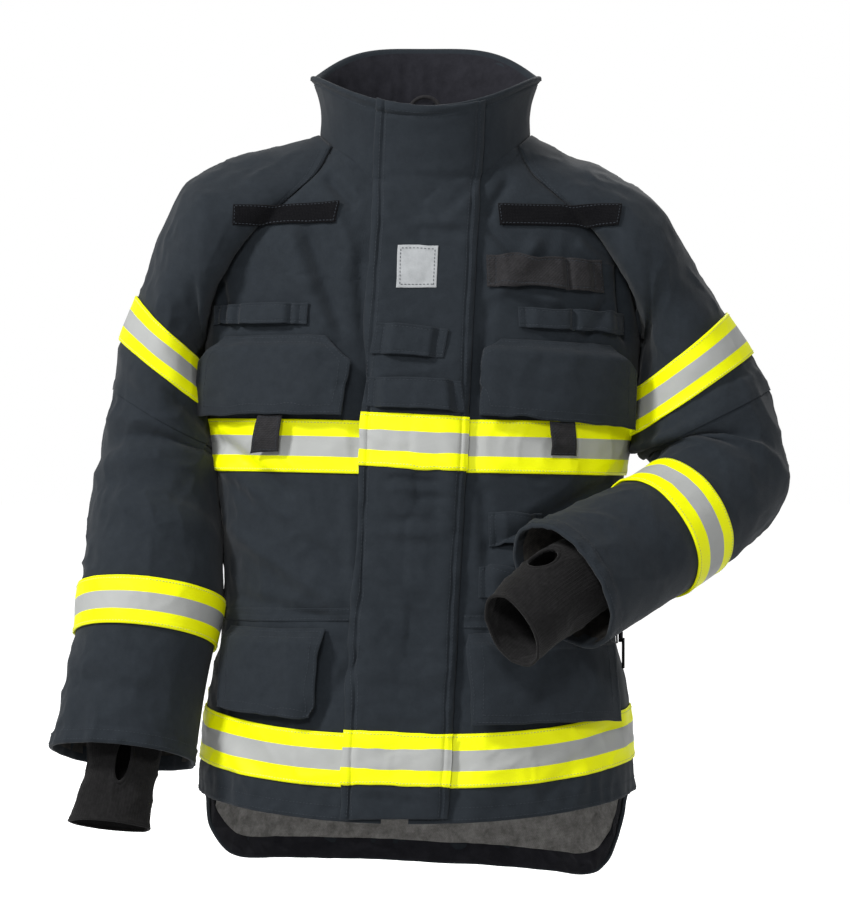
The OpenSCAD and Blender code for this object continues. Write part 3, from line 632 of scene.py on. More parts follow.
SLEEVE_FOLDS = {  # height, then place, turn, spread, slope and width as fold_round takes them
    -1: [
        (3.2, 5.7, 120, 60, 0.5, 0.22), (-3.6, 6.15, 110, 60, 0.5, 0.2), (2.6, 6.6, 100, 55, 0.35, 0.2),
        (3.4, 7.3, 60, 70, -0.4, 0.22), (-4.2, 7.75, 70, 70, -0.35, 0.18), (3.6, 8.15, 75, 65, -0.3, 0.2),
        (-4.0, 8.6, 90, 70, 0.2, 0.18), (3.2, 9.0, 95, 65, 0.25, 0.2), (-2.4, 9.4, 100, 60, 0.3, 0.18),
        (2.4, 8.2, 200, 60, 0.4, 0.25), (-2.6, 8.7, 210, 60, 0.4, 0.2), (2.0, 11.7, 60, 80, 0.3, 0.22),
        (-2.2, 12.0, 80, 70, 0.25, 0.18)],
    1: [
        (3.0, 5.5, 70, 60, -0.4, 0.2), (-3.6, 6.0, 80, 60, -0.5, 0.2), (5.0, 6.55, 150, 60, -0.5, 0.22),
        (-8.0, 7.1, 150, 70, -0.55, 0.2), (5.5, 7.6, 140, 65, -0.4, 0.22), (-5.0, 8.1, 150, 60, -0.2, 0.2),
        (4.0, 8.7, 140, 60, 0.0, 0.24), (2.6, 7.4, 30, 50, 0.5, 0.25), (-2.6, 8.3, 30, 60, 0.4, 0.25),
        (2.2, 11.3, 90, 60, 0.4, 0.25), (-2.4, 11.8, 100, 60, 0.4, 0.2)]}


def sleeve_folds(side, turn, place, p):
    d = 2.2 * noise(p + 20, (40, 40, 55)) + 3.0 * (ridges(p + 70, (36, 36, 42), 0.8) - 0.5) + 0.45 * noise(p,
                                                                                                           12)
    d = d + 1.3 * (ridges(p + 170, (18, 18, 24), 0.9) - 0.5)
    if side < 0:
        d = d + 6.5 * bell(wrap(turn - 158), 42) * bell(place - 7.5, 0.9)
    for height, *where in SLEEVE_FOLDS[side]:
        d = d + height * fold_round(turn, place, *where)
    # flat under the tapes, thick at the raglan seam and the cuff
    for a, b in ((5.0, 6.0), (10.0, 11.0)):
        d = d * (1 - 0.55 * ease((place - a + 0.15) / 0.15) * ease((b + 0.15 - place) / 0.15))
    d = d * ease((place + 0.05) / 0.8)
    # calmer where the cuff passes a hip flap
    toward = bell(wrap(turn - (180 if side < 0 else 0)), 62) * ease((place - 8.8) / 0.8)
    return d * (1 - 0.75 * toward) - 1.5 * toward


def sleeve_points(side, places):
    p = np.moveaxis(spline(CONTROL[side], places), 0, 1)
    centre = p.mean(0, keepdims=True)
    n = normals(p, True)
    n = out_from(p, n, centre)
    turn, place = np.broadcast_arrays(TURNS[:, None], places[None, :])
    return p, n, sleeve_folds(side, turn, place, p)


def along(p):
    """Distance along a sleeve from its first ring, at every point of its grid."""
    return np.cumsum(np.concatenate([np.zeros((len(p), 1)), np.linalg.norm(np.diff(p, axis=1), axis=-1)], 1), 1)


def build_sleeve(side):
    word, arm = ("right", ARMS[-1]) if side < 0 else ("left", ARMS[1])
    # from the raglan seam to the elbow
    places = sleeve_rows(CONTROL[side], 0.0, 7.0)
    p, n, d = sleeve_points(side, places)
    s = along(p)
    d = d + 0.5 * np.exp(-((s / 9) ** 4)) - 0.5 * bell(s - 9.5, 2.2) + 0.8 * ease((s[:, -1:] - s) / 10 < 1)
    q = p + n * d[..., None]
    q = np.concatenate([q[:, :1] - n[:, :1] * 3.0, q[:, :1] - n[:, :1] * 0.7, q], 1)
    upper = sheet_mesh(f"{word}_sleeve_upper", q, True, q.reshape(-1, 3).mean(0))
    finish_piece(upper, NAVY, None, (f"{word}_shoulder", f"{word}_armhole_fold", f"{word}_upper_sleeve"))
    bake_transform(upper)
    for gap in (2.5, 9.5):
        rows = np.array([np.argmin(np.abs(s[i] - gap)) for i in range(len(TURNS))])
        line = (p + n * (d[..., None] + 0.2))[np.arange(len(TURNS)), rows]
        up = n[np.arange(len(TURNS)), rows]
        weight = np.array([i for i in range(len(TURNS)) if 28 < abs(wrap(TURNS[i])) < 128])
        for part in (weight[weight < len(TURNS) // 2], weight[weight >= len(TURNS) // 2]):
            stitch(line[part], up[part], "coat")
    # from the elbow to the cuff
    places = sleeve_rows(CONTROL[side], 6.75, 13.0)
    p, n, d = sleeve_points(side, places)
    d = d - 1.6 * ease((7.02 - places) / 0.05)[None, :]
    s = along(p)
    from_cuff = s[:, -1:] - s
    d = d + 0.8 * ease((16 - from_cuff) / 3) - 0.9 * bell(from_cuff - 16, 2.2)
    d = d + 1.2 * noise(p, (9, 9, 12)) * ease((26 - from_cuff) / 20)
    q = p + n * d[..., None]
    for gap in (4, 13):
        row = -1 - int(round(gap / 3.0))
        stitch(q[:, row] + n[:, row] * 0.2, n[:, row], f"{word}_forearm")
    q = fold_edge(q, n, 4.0, 14)
    lower = sheet_mesh(f"{word}_sleeve_lower", q, True, q.reshape(-1, 3).mean(0))
    finish_piece(lower, NAVY, None, (f"{word}_elbow_fold", f"{word}_lower_sleeve"))
    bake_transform(lower)
    # lining inside the cuff, in a darkened copy of the lining cloth: painted shade
    places = sleeve_rows(CONTROL[side], 10.2, 12.88)
    p, n, d = sleeve_points(side, places)
    lining = p - n * (4.6 - 0.5 * d - 1.0 * ridges(p, (14, 14, 30)))[..., None]
    obj = sheet_mesh(f"{word}_cuff_lining", lining, True)
    finish_piece(obj, CUFF_LINING_PAINTED_SHADE, f"{word}_forearm", ())


front_shell(-1, "right")
front_shell(1, "left")
back_shell()
build_sleeve(-1)
build_sleeve(1)


# ---------------------------------------------------------------- collar
def collar(h, angle):
    base = torso(0.0, angle)
    s, c = np.sin(np.radians(angle)), np.cos(np.radians(angle))
    q = np.abs(s) ** np.where(c > 0, 2, 3.5)
    z_rim = np.where(c > 0, 33, 114) * (1 - q) + 74 * q
    rim = np.stack([115 * s + 6, -np.where(c > 0, 112, 86) * c, z_rim], -1)
    out = np.stack([s, -c, 0 * s], -1)
    return (base * (1 - h[..., None]) + rim * h[..., None] - 4 * np.sin(np.pi * np.clip(h, 0, 1))[..., None]
            * out, out)


def collar_sheet(profile, a0, a1, count, folds):
    angle = np.linspace(a0, a1, count)[:, None]
    h, off = (np.array([row[k] for row in profile])[None, :] for k in (0, 1))
    angle, h = np.broadcast_arrays(angle, h)
    p, out = collar(h, angle)
    return p + out * (off + folds(p, h, angle))[..., None]


def collar_folds(p, h, angle):
    d = 1.1 * noise(p, (34, 34, 40)) + 1.2 * (ridges(p, (26, 26, 60)) - 0.5)
    return d * np.sin(np.pi * np.clip(h, 0.02, 1)) - 1.0 * bell(h - 0.87, 0.02)


outer = [(k, 0.0) for k in np.linspace(-0.06, 0.9, 40)]
outer += [(0.93, 0.8), (0.955, 1.3), (0.98, 1.0), (0.997, 0.0), (1.004, -1.4), (1.0, -3.0), (0.985, -4.3),
          (0.96, -4.8), (0.92, -4.6), (0.88, -4.4)]
ring_points = collar_sheet(outer, 4, 364, 240, collar_folds)
finish_piece(sheet_mesh("collar_cloth", ring_points, outward=np.array([5, -10, 20])), NAVY, "coat",
             ("collar",))
inner = [(k, -5.2) for k in np.linspace(0.93, -0.02, 34)]


def pleats(p, h, angle):
    return -1.6 * (ridges(p + 300, (13, 13, 90), 0.25) - 0.2) * ease((0.95 - h) / 0.2) - 0.6 * noise(p, 14)


lining_points = collar_sheet(inner, 6, 362, 300, pleats)
finish_piece(sheet_mesh("collar_lining_cloth", lining_points), FACING, "coat", ("collar_lining",))
for h in (0.86, 0.95):
    row = collar_sheet([(h, 0.35 if h < 0.9 else 1.4)], 30, 330, 500, collar_folds)[:, 0]
    out = collar(np.full(500, h), np.linspace(30, 330, 500))[1]
    stitch(row, out, "coat")


# ---------------------------------------------------------------- the front as seen from the front
class Field:
    """The front surface of some meshes as a height over x and z, for laying trims on."""

    def __init__(self, objects, x0=-226, x1=226, z0=-668, z1=60, step=2.0):
        verts, faces = [], []
        for o in objects:
            base = len(verts)
            verts += [v.co * 1000 for v in o.data.vertices]
            faces += [[base + k for k in f.vertices] for f in o.data.polygons]
        tree = BVHTree.FromPolygons(verts, faces)
        self.x0, self.z0, self.step = x0, z0, step
        nx, nz = int((x1 - x0) / step) + 1, int((z1 - z0) / step) + 1
        y = np.full((nx, nz), np.nan)
        for i in range(nx):
            for j in range(nz):
                hit = tree.ray_cast((x0 + i * step, -500, z0 + j * step), (0, 1, 0), 480)[0]
                if hit:
                    y[i, j] = hit[1]
        for _ in range(40):
            bad = np.isnan(y)
            if not bad.any():
                break
            near = np.stack([np.roll(y, 1, 0), np.roll(y, -1, 0), np.roll(y, 1, 1), np.roll(y, -1, 1)])
            fill = np.nanmean(np.where(np.isnan(near).all(0), 0, near), 0)
            y = np.where(bad & ~np.isnan(near).all(0), fill, y)
        y = np.nan_to_num(y, nan=-50.0)
        self.set_heights(self.blur(y, 1))

    def set_heights(self, y):
        self.y = y
        self.gx, self.gz = np.gradient(self.blur(y, 5), self.step)

    def draped(self):
        """The same field bridging its hollows, as a stiff strip laid across them does."""
        new = copy.copy(self)
        new.set_heights(self.blur(np.minimum(self.blur(self.y, 30), self.y), 3))
        return new

    @staticmethod
    def blur(y, times):
        for _ in range(times):
            y = np.pad(y, 1, mode="edge")
            y = (4 * y[1:-1, 1:-1] + y[:-2, 1:-1] + y[2:, 1:-1] + y[1:-1, :-2] + y[1:-1, 2:]) / 8
        return y

    def sample(self, table, x, z):
        a = np.clip((x - self.x0) / self.step, 0, table.shape[0] - 1.001)
        b = np.clip((z - self.z0) / self.step, 0, table.shape[1] - 1.001)
        i, j = a.astype(int), b.astype(int)
        f, g = a - i, b - j
        return ((1 - f) * (1 - g) * table[i, j] + f * (1 - g) * table[i + 1, j]
                + (1 - f) * g * table[i, j + 1] + f * g * table[i + 1, j + 1])

    def normal(self, x, z):
        return unit(np.stack([self.sample(self.gx, x, z), -np.ones_like(x), self.sample(self.gz, x, z)], -1))

    def lay(self, x, z, out=0.0):
        p = np.stack([x, self.sample(self.y, x, z), z], -1)
        return p + self.normal(x, z) * np.asarray(out)[..., None]


fronts = [shells[-1][1], shells[1][1]]
body_front = Field(fronts)
flap_front = Field(fronts + [bpy.data.objects["collar_cloth"]])
smooth_front = body_front.draped()
whole_front = (Field(fronts + [bpy.data.objects["right_sleeve_upper"],
                               bpy.data.objects["left_sleeve_upper"]]).draped())


def samples(length, pitch, edge=1.6, grooves=()):
    """Shares of a length, closer together at both ends and at grooves, which are in mm from the start."""
    e = min(edge / length, 0.2)
    inner = np.linspace(e, 1 - e, max(3, int(length / pitch)))
    for g in grooves:
        near = (g + np.array([-1.5, -0.8, 0, 0.8, 1.5])) / length
        inner = (np.concatenate([inner[(inner < near[0] - 0.4 / length) | (inner > near[-1] + 0.4 / length)],
                                 near]))
    return np.concatenate([[0, 0.12 * e, 0.45 * e], np.sort(inner), [1 - 0.45 * e, 1 - 0.12 * e, 1]])


def groove(d, at, depth, width=0.9):
    """A sewn line pressed into the cloth, at distance d = at from an edge."""
    return -depth * bell(d - at, width)


def way(k):
    """A function of a share: a number stays, (a, b) runs from a to b, and other lists are (share, value)."""
    if callable(k):
        return k
    if np.ndim(k) == 0:
        return lambda t: k + 0 * np.asarray(t, float)
    at, value = zip(*k) if np.ndim(k) == 2 else ((0, 1), k)
    return lambda t: np.interp(t, at, value)


def laid_piece(name, field, x0, x1, z0, z1, out, thick, lift=None, pitch=3.0, edge=1.4, puff=0.0, seed=0.0,
               gu=(), gv=()):
    """A flat piece laid on a field. x0, x1 go by v and z0, z1 by u, as way() takes them;
    lift(u, v, x, z) is added to out.
    Returns the object, its top points, its normals, and u and v."""
    x0, x1, z0, z1 = map(way, (x0, x1, z0, z1))
    lu, lv = abs(x1(0.5) - x0(0.5)), abs(z1(0.5) - z0(0.5))
    u, v = np.meshgrid(samples(lu, pitch, grooves=gu), samples(lv, pitch, grooves=gv), indexing="ij")
    x = x0(v) + (x1(v) - x0(v)) * u
    z = z0(u) + (z1(u) - z0(u)) * v
    d = np.minimum(np.minimum(u, 1 - u) * lu, np.minimum(v, 1 - v) * lv)
    k = np.sqrt(np.clip(1 - (1 - np.clip(d / edge, 0, 1)) ** 2, 0, 1))
    body = out + (lift(u, v, x, z) if lift else 0) + puff * ease(d / 14)
    p0 = np.stack([x, np.zeros_like(x), z], -1)
    body = body + 0.35 * noise(p0 + seed, (17, 17, 17)) * ease(d / 6) + 0.22 * noise(p0 + seed, 8)
    top = field.lay(x, z, body + thick * (0.5 + 0.5 * k))
    bottom = field.lay(x, z, body + thick * (0.5 - 0.5 * k))
    return slab_mesh(name, top, bottom), top, field.normal(x, z), u, v


def stitch_in(grid, u, v, path, body, thread="THREAD", raise_by=0.15):
    """Stitches along a path of (u, v) points of a piece made by laid_piece."""
    top, n = grid
    us, vs = u[:, 0], v[0, :]
    path = np.array(path, float)
    t = np.linspace(0, 1, 160)
    seg = np.concatenate([[0], np.cumsum(np.hypot(*(np.diff(path, axis=0).T)))])
    a, b = np.interp(t * seg[-1], seg, path[:, 0]), np.interp(t * seg[-1], seg, path[:, 1])

    def pick(table):
        i = np.clip(np.searchsorted(us, a) - 1, 0, len(us) - 2)
        j = np.clip(np.searchsorted(vs, b) - 1, 0, len(vs) - 2)
        f = ((a - us[i]) / (us[i + 1] - us[i]))[:, None]
        g = ((b - vs[j]) / (vs[j + 1] - vs[j]))[:, None]
        return ((1 - f) * (1 - g) * table[i, j] + f * (1 - g) * table[i + 1, j]
                + (1 - f) * g * table[i, j + 1] + f * g * table[i + 1, j + 1])

    stitch(pick(top) + pick(n) * raise_by, pick(n), body, thread)


def frame_path(mu, mv, sides="lrtb"):
    """Stitch paths inside a piece's border, mu and mv in from it."""
    out = []
    if "l" in sides:
        out.append([(mu, mv), (mu, 1 - mv)])
    if "r" in sides:
        out.append([(1 - mu, mv), (1 - mu, 1 - mv)])
    if "t" in sides:
        out.append([(mu, mv), (1 - mu, mv)])
    if "b" in sides:
        out.append([(mu, 1 - mv), (1 - mu, 1 - mv)])
    return out


# ---------------------------------------------------------------- storm flap and what is sewn on it
FLAP_FOLDS = [  # from (x, z) to (x, z), height, width
    ((-38, -38), (52, -36), -1.6, 7), ((54, -36), (30, -66), -2.2, 6), ((48, -58), (22, -86), 1.4, 8),
    ((2, -88), (44, -92), -2.4, 4.5), ((-6, -80), (46, -82), 1.8, 6), ((-40, -60), (-10, -96), 1.2, 10),
    ((-30, -326), (18, -330), -2.0, 4.5),
    ((-32, -336), (20, -338), 1.6, 5), ((-4, -347), (30, -345), -1.8, 4), ((-30, -366), (24, -368), -1.6, 5),
    ((-28, -378), (20, -380), 1.4, 6),
    ((-56, -420), (-20, -470), -1.6, 9), ((-50, -400), (-6, -450), 1.4, 10),
    ((-46, -520), (22, -536), -1.4, 8), ((-50, -548), (12, -556), 1.2, 7),
    ((-60, -628), (10, -634), -1.2, 6)]


def flap_lift(u, v, x, z):
    w = 101.0
    d = np.minimum(u, 1 - u) * w
    free, sewn = u * w, (1 - u) * w
    lift = groove(free, 7.8, 1.9, 1.1) + groove(sewn, 7.8, 1.3,
                                                1.0) + 0.9 * ease((7.4 - free) / 3) + 0.3 * ease((7.4
                                                                                                  - sewn) / 3)
    rim = 33 + (x / 115) ** 2 * 41
    lift = lift + groove(rim - z, 7.0, 1.4, 1.1) + 0.6 * ease((6.6 - (rim - z)) / 3)
    p = np.stack([x, 0 * x, z], -1)
    lift = lift + 0.9 * noise(p + 5, (14, 14, 17)) * bell(d, 12)
    lift = (lift + 1.4 * noise(p + 9, (40, 40, 60)) + 1.6 * (ridges(p + 60, (46, 46, 26)) - 0.5)
            - 2.0 * ease((6 - sewn) / 6))
    for c, e, height, width in FLAP_FOLDS:
        lift = lift + 1.5 * height * crease(x, z, c, e, 0.8 * width)
    return np.where(lift < -1.4, -1.4 + 0.3 * (lift + 1.4), lift)


FLAP_OUT, FLAP_T = 3.6, 3.0
rim_z = lambda u: 32.5 + ((u - 0.5) * 101 / 115) ** 2 * 41
storm, top, n, u, v = laid_piece("storm_flap_cloth", flap_front, lambda v: flap_left(36 - 685 * v),
                                 lambda v: flap_right(36 - 685 * v),
                                 rim_z, -649, FLAP_OUT, FLAP_T, flap_lift, 2.6, 1.6, 0.6, 0.0, (7.8, 93.2),
                                 (6.5,))
finish_piece(storm, NAVY, None, ("storm_flap",))
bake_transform(storm)
for m in (0.055, 0.1):
    stitch_in((top, n), u, v, [(m, 0.012), (m, 0.996)], "flap")
    stitch_in((top, n), u, v, [(1 - m, 0.012), (1 - m, 0.996)], "coat")
for m in (0.007, 0.013):
    stitch_in((top, n), u, v, [(0.03, m), (0.6, m)], "flap")


def under_flap(u, v, x, z):
    return flap_lift((x - flap_left(z)) / 101, v, x, z)


for name, out, thick, lift, body in (("hook", FLAP_OUT - 1.1, 0.8, under_flap, "flap"),
                                     ("loop", 0.2, 0.9, None, "coat")):
    strip, *_ = laid_piece(f"storm_flap_{name}_cloth", body_front, lambda v: flap_left(-92 - 526 * v) + 11,
                           lambda v: flap_left(-92 - 526 * v) + 29, -92, -618, out, thick, lift, 2.6, 0.4)
    finish_piece(strip, BLACK, body, (f"storm_flap_{name}_strip",))

label, top, n, u, v = laid_piece("label_plain", body_front, (-21, -23), (18, 16), -103, -144,
                                 FLAP_OUT + FLAP_T + 0.9, 0.9, lambda u, v, x,
                                 z: 0.8 * flap_lift(0.5 + 0 * u, v, x, z), 1.6, 0.6, 0)
finish_piece(label, LABEL, "flap", ("label_patch",))
for path in frame_path(0.08, 0.08):
    stitch_in((top, n), u, v, path, "flap")


def strap(name, field, x0, x1, z0, z1, base, gap, thick, mat, body, slot, flat=8.0, bars=()):
    """A strap sewn down at both ends, and at bars, and standing off the cloth between them."""
    x0, x1, z0, z1 = map(way, (x0, x1, z0, z1))
    length, tall = abs(x1(0.5) - x0(0.5)), abs(z1(0.5) - z0(0.5))

    def lift(u, v, x, z):
        k = gap * ease((u * length - flat) / 9) * ease(((1 - u) * length - flat) / 9)
        for b in bars:
            k = k * (1 - 0.9 * bell((u - b) * length, 3.0))
        p = np.stack([x, 0 * x, z], -1)
        k = k + 0.8 * noise(p + len(name), (26, 26, 12)) * ease(u / 0.1) * ease((1 - u) / 0.1)
        for m in (flat, length - flat):
            k = k + groove(u * length, m, 0.5)
        return k + groove(np.minimum(v, 1 - v) * tall, 3.0, 0.35, 0.8)
    gu = [flat, length - flat] + [b * length for b in bars]
    obj, top, n, u, v = laid_piece(name, field, x0, x1, z0, z1, base, thick, lift, 2.2, 1.0, 0.0, 0.0, gu,
                                   (3.0, tall - 3.0))
    finish_piece(obj, mat, body, stem(name))
    f, e = flat / length, 2.2 / length
    paths = frame_path(e, 3.0 / tall) + [[(k, 0.1), (k, 0.9)] for k in (f, 1 - f, *bars)]
    for path in paths:
        stitch_in((top, n), u, v, path, body)


strap("centre_loop_cloth", body_front, (-41, -44), (28, 23), (-177, -184), (-207, -212),
      FLAP_OUT + FLAP_T + 0.8, 5.5, 1.8, EDGE, "flap", "shell")
strap("centre_band_cloth", body_front, (-46, -50), (38, 42), (-229, -234), (-258, -264),
      FLAP_OUT + FLAP_T + 1.0, 7.0, 2.0, EDGE, "flap", "shell", 7.0)


def tape_piece(name, top, bottom, body, node_names):
    obj = slab_mesh(name, top, bottom)
    # across the tape runs from 0 to 1/20 of a unit, along it in metres
    nu, nv = top.shape[:2]
    run = distances(top[:, nv // 2]) * 0.001
    across = np.linspace(0, 0.05, nv)
    uv = np.stack(np.broadcast_arrays(run[:, None], across[None, :]), -1).reshape(-1, 2)
    uv = np.concatenate([uv, uv])
    index = np.zeros(len(obj.data.loops), int)
    obj.data.loops.foreach_get("vertex_index", index)
    obj.data.uv_layers[0].data.foreach_set("uv", uv[index].astype(np.float32).ravel())
    finish_piece(obj, TAPE, body, node_names)
    n = unit(top - bottom)
    for k in (0.055, 0.945):
        j = k * (nv - 1)
        i = int(j)
        row = top[:, i] * (1 - (j - i)) + top[:, i + 1] * (j - i)
        stitch(row + n[:, i] * 0.15, n[:, i], body, "PALE", 3.2, 2.2)


def flap_tape(name, z0, z1, node_name):
    u, v = np.meshgrid(samples(101, 2.6, 1.0, (7.8, 93.2)), np.linspace(0, 1, 22), indexing="ij")
    z0, z1 = way(z0), way(z1)
    z = z0(u) + (z1(u) - z0(u)) * v
    x = flap_left(z) + (flap_right(z) - flap_left(z)) * u
    out = FLAP_OUT + FLAP_T + 1.1 + flap_lift(u, v, x, z) * 0.85
    top = body_front.lay(x, z, out + 1.0 + 0.3 * noise(np.stack([x, 0 * x, z], -1), 12))
    tape_piece(name, top, body_front.lay(x, z, out), "flap", (node_name,))


flap_tape("chest_tape_on_flap", (-263, -268), (-315, -320), "chest_tape_flap")
flap_tape("hem_tape_on_flap", (-565, -569), (-616, -619), "hem_tape_flap")


# ---------------------------------------------------------------- tape round the torso
def torso_displaced(level, angle, out):
    p = torso(level, angle)
    n = torso_normals(p)
    return p + n * (torso_folds(p) + side_dip(np.where(angle > 180, 360 - angle, angle)) + out)[..., None]


def torso_tape(name, a0, a1, centre_z, drop, node_name):
    """Tape round the torso from angle a0 to a1; centre_z(angle) is its upper edge."""
    angle = np.linspace(a0, a1, max(24, int(abs(a1 - a0) * 1.3)))
    levels = np.linspace(0, LAST, 600)
    rows = []
    for a in angle:
        z = torso(levels, a)[..., 2]
        want = centre_z(a) - np.linspace(0, 1, 22) * drop
        rows.append(np.interp(-want, -z, levels))
    level = np.array(rows)
    angle = np.broadcast_to(angle[:, None], level.shape)
    top = torso_displaced(level, angle, 1.9)
    bottom = torso_displaced(level, angle, 0.7)
    tape_piece(name, top, bottom, "coat", (node_name,) if node_name else ())


def angle_on(x, z):
    """The angle where the front is at x and z."""
    level = 6.0
    for _ in range(6):
        a = float(angle_at(x - lean(z), level))
        table = np.linspace(0, LAST, 600)
        level = float(np.interp(-z, -torso(table, a)[..., 2], table))
    return a


chest_edge = lambda a: -269 - 4 * np.sin(np.radians(a)) - 2.5 * (a < 0)
torso_tape("chest_tape_right_side", -90, angle_on(flap_left(-290) + 4, -290), chest_edge, 51,
           "chest_tape_right")
torso_tape("chest_tape_left_side", angle_on(flap_right(-290) - 2, -290), 90, chest_edge, 51, "chest_tape_left")
torso_tape("chest_tape_round_back", 90, 270, lambda a: -273 + 4 * np.sin(np.radians(a - 90)), 51,
           "chest_tape_back")
hem_edge = lambda a: -569 + 18 * np.abs(np.sin(np.radians(a))) ** 2.2
torso_tape("hem_tape_right_side", -90, angle_on(flap_left(-590) + 4, -590), hem_edge, 51, "hem_tape_front")
torso_tape("hem_tape_left_side", angle_on(flap_right(-590) - 2, -590), 90, hem_edge, 51, None)
torso_tape("hem_tape_round_back", 90, 270, lambda a: -614 - 15 * np.sin(np.radians(a))
           + 63 * np.abs(np.sin(np.radians(a))) ** 9, 51,
           "hem_tape_back")


# ---------------------------------------------------------------- tape round the sleeves
def sleeve_tape(side, a, b, body, name):
    places = np.linspace(a, b, 22)
    p, n, d = sleeve_points(side, places)
    top, bottom = p + n * (d + 2.9)[..., None], p + n * (d + 1.2)[..., None]
    top, bottom = (np.concatenate([g, g[:1]], 0) for g in (top, bottom))
    tape_piece(name, top, bottom, body, ())


for side, word in ((-1, "right"), (1, "left")):
    sleeve_tape(side, 5.06, 5.98, f"{word}_upper_arm", f"{word}_upper_sleeve_tape")
    sleeve_tape(side, 10.03, 10.95, f"{word}_forearm", f"{word}_lower_sleeve_tape")


# ---------------------------------------------------------------- pockets and flaps
def pocket(name, x0, x1, z0, z1, depth):
    """A bellows pocket: a raised front with rounded sides that drop to the cloth."""
    lu, lv = abs(x1 - x0) + 8, abs(z1 - z0) + 4
    u, v = np.meshgrid(samples(lu, 3, 6), samples(lv, 3, 6), indexing="ij")
    x = x0 - 4 * np.sign(x1 - x0) + (x1 - x0 + 8 * np.sign(x1 - x0)) * u
    z = z0 + (z1 - 4 - z0) * v
    d = np.minimum(np.minimum(u, 1 - u) * lu, (1 - v) * lv)
    k = ease(d / 7) ** 0.7
    p0 = np.stack([x, 0 * x, z], -1)
    h = 0.8 + (depth - 1.5) * k + 0.8 * noise(p0, 20) * k
    top, bottom = body_front.lay(x, z, h + 1.2), body_front.lay(x, z, h - 0.4)
    finish_piece(slab_mesh(name, top, bottom), NAVY, "coat", stem(name))


def pocket_flap(name, x0, x1, z0, z1, clear, body, drop=0.2):
    """A flap sewn along its top, which steps out over the pocket and hangs over its front."""
    def lift(u, v, x, z):
        p = np.stack([x, 0 * x, z], -1)
        soft = 1.4 * noise(p + 31, (24, 24, 40)) + 1.4 * (ridges(p + 131, (22, 22, 60)) - 0.5)
        return (clear - 2.4) * ease(v / drop) - 0.8 * bell(v - 0.1, 0.03) + soft * ease(v / 0.3)
    obj, top, n, u, v = laid_piece(name, body_front, x0, x1, z0, z1, 2.2, 2.4, lift, 2.6, 1.3, 0.8,
                                   float(len(name)))
    finish_piece(obj, NAVY, body, stem(name))
    lu, lv = abs(way(x1)(0.5) - way(x0)(0.5)), abs(way(z1)(0.5) - way(z0)(0.5))
    for m in (2.5, 9):
        for path in frame_path(m / lu, m / lv, "lrb"):
            stitch_in((top, n), u, v, path, body)
    for k in (0.035, 0.1):
        stitch_in((top, n), u, v, [(0.02, k), (0.98, k)], body)


CHEST, HIP = 14.4, 13.4
pocket("right_chest_pocket_cloth", -186, -78, -226, -258, 12.5)
pocket_flap("right_chest_flap_cloth", ((0, -188), (0.3, -203), (1, -206)), ((0, -90), (0.34, -66), (1, -75)),
            (-188, -188),
            (-264, -267), CHEST, "right_chest_cover")
pocket("left_chest_pocket_cloth", 62, 186, -228, -262, 12.5)
pocket_flap("left_chest_flap_cloth", ((0, 78), (0.3, 55), (1, 58)), ((0, 183), (0.34, 200), (1, 198)),
            (-192, -197),
            (-267, -277), CHEST, "left_chest_cover")
pocket("right_hip_pocket_cloth", -174, -106, -500, -545, 11.5)
pocket_flap("right_hip_flap_cloth", (-181, -185), (-89, -102), -470, (-550, -558), HIP,
            "right_hip_cover", 0.16)
pocket("left_hip_pocket_cloth", 58, 174, -504, -548, 11.5)
pocket_flap("left_hip_flap_cloth", (47, 51), (177, 186), -474, -560, HIP,
            "left_hip_cover", 0.16)


def felled_seam(name, x0, x1, z, fall):
    """A folded seam laid flat across the front and stitched along both edges."""
    obj, top, n, u, v = laid_piece(name, body_front, x0, x1, (z, z - fall), (z - 13, z - 13 - fall),
                                   0.1, 1.1, lambda u, v, x, z: groove(v * 13, 6.5, 0.4, 1.6), 2.2, 0.8, 0.0,
                                   0.0, (), (6.5,))
    finish_piece(obj, NAVY, "coat", ())
    for k in (0.14, 0.86):
        stitch_in((top, n), u, v, [(0.0, k), (1.0, k)], "coat")


felled_seam("right_waist_seam", -192, -47, -452, -3)
felled_seam("left_waist_seam", 42, 190, -456, 4)
for side in (-1, 1):
    p, obj = shells[side]
    n = torso_normals(p)
    for k in (8, 12):
        stitch(p[2:-2, -k] + n[2:-2, -k] * 0.2, n[2:-2, -k], "coat")


def pull_tab(name, x0, x1, z0, z1, body):
    obj, top, n, u, v = laid_piece(name, smooth_front, x0, x1, z0, z1, CHEST - 3.2, 2.4, lambda u, v, x,
                                   z: 1.6 * np.sin(np.pi * v) - 2.0 * ease((v - 0.6) / 0.4), 1.8, 1.0)
    finish_piece(obj, WEBBING, body, stem(name))
    for path in frame_path(0.1, 0.06):
        stitch_in((top, n), u, v, path, body)


pull_tab("right_chest_pull_webbing", (-150, -157), (-127, -132), -266, -301, "right_chest_cover")
pull_tab("left_chest_pull_webbing", (121, 122), (145, 146), -272, -305, "left_chest_cover")

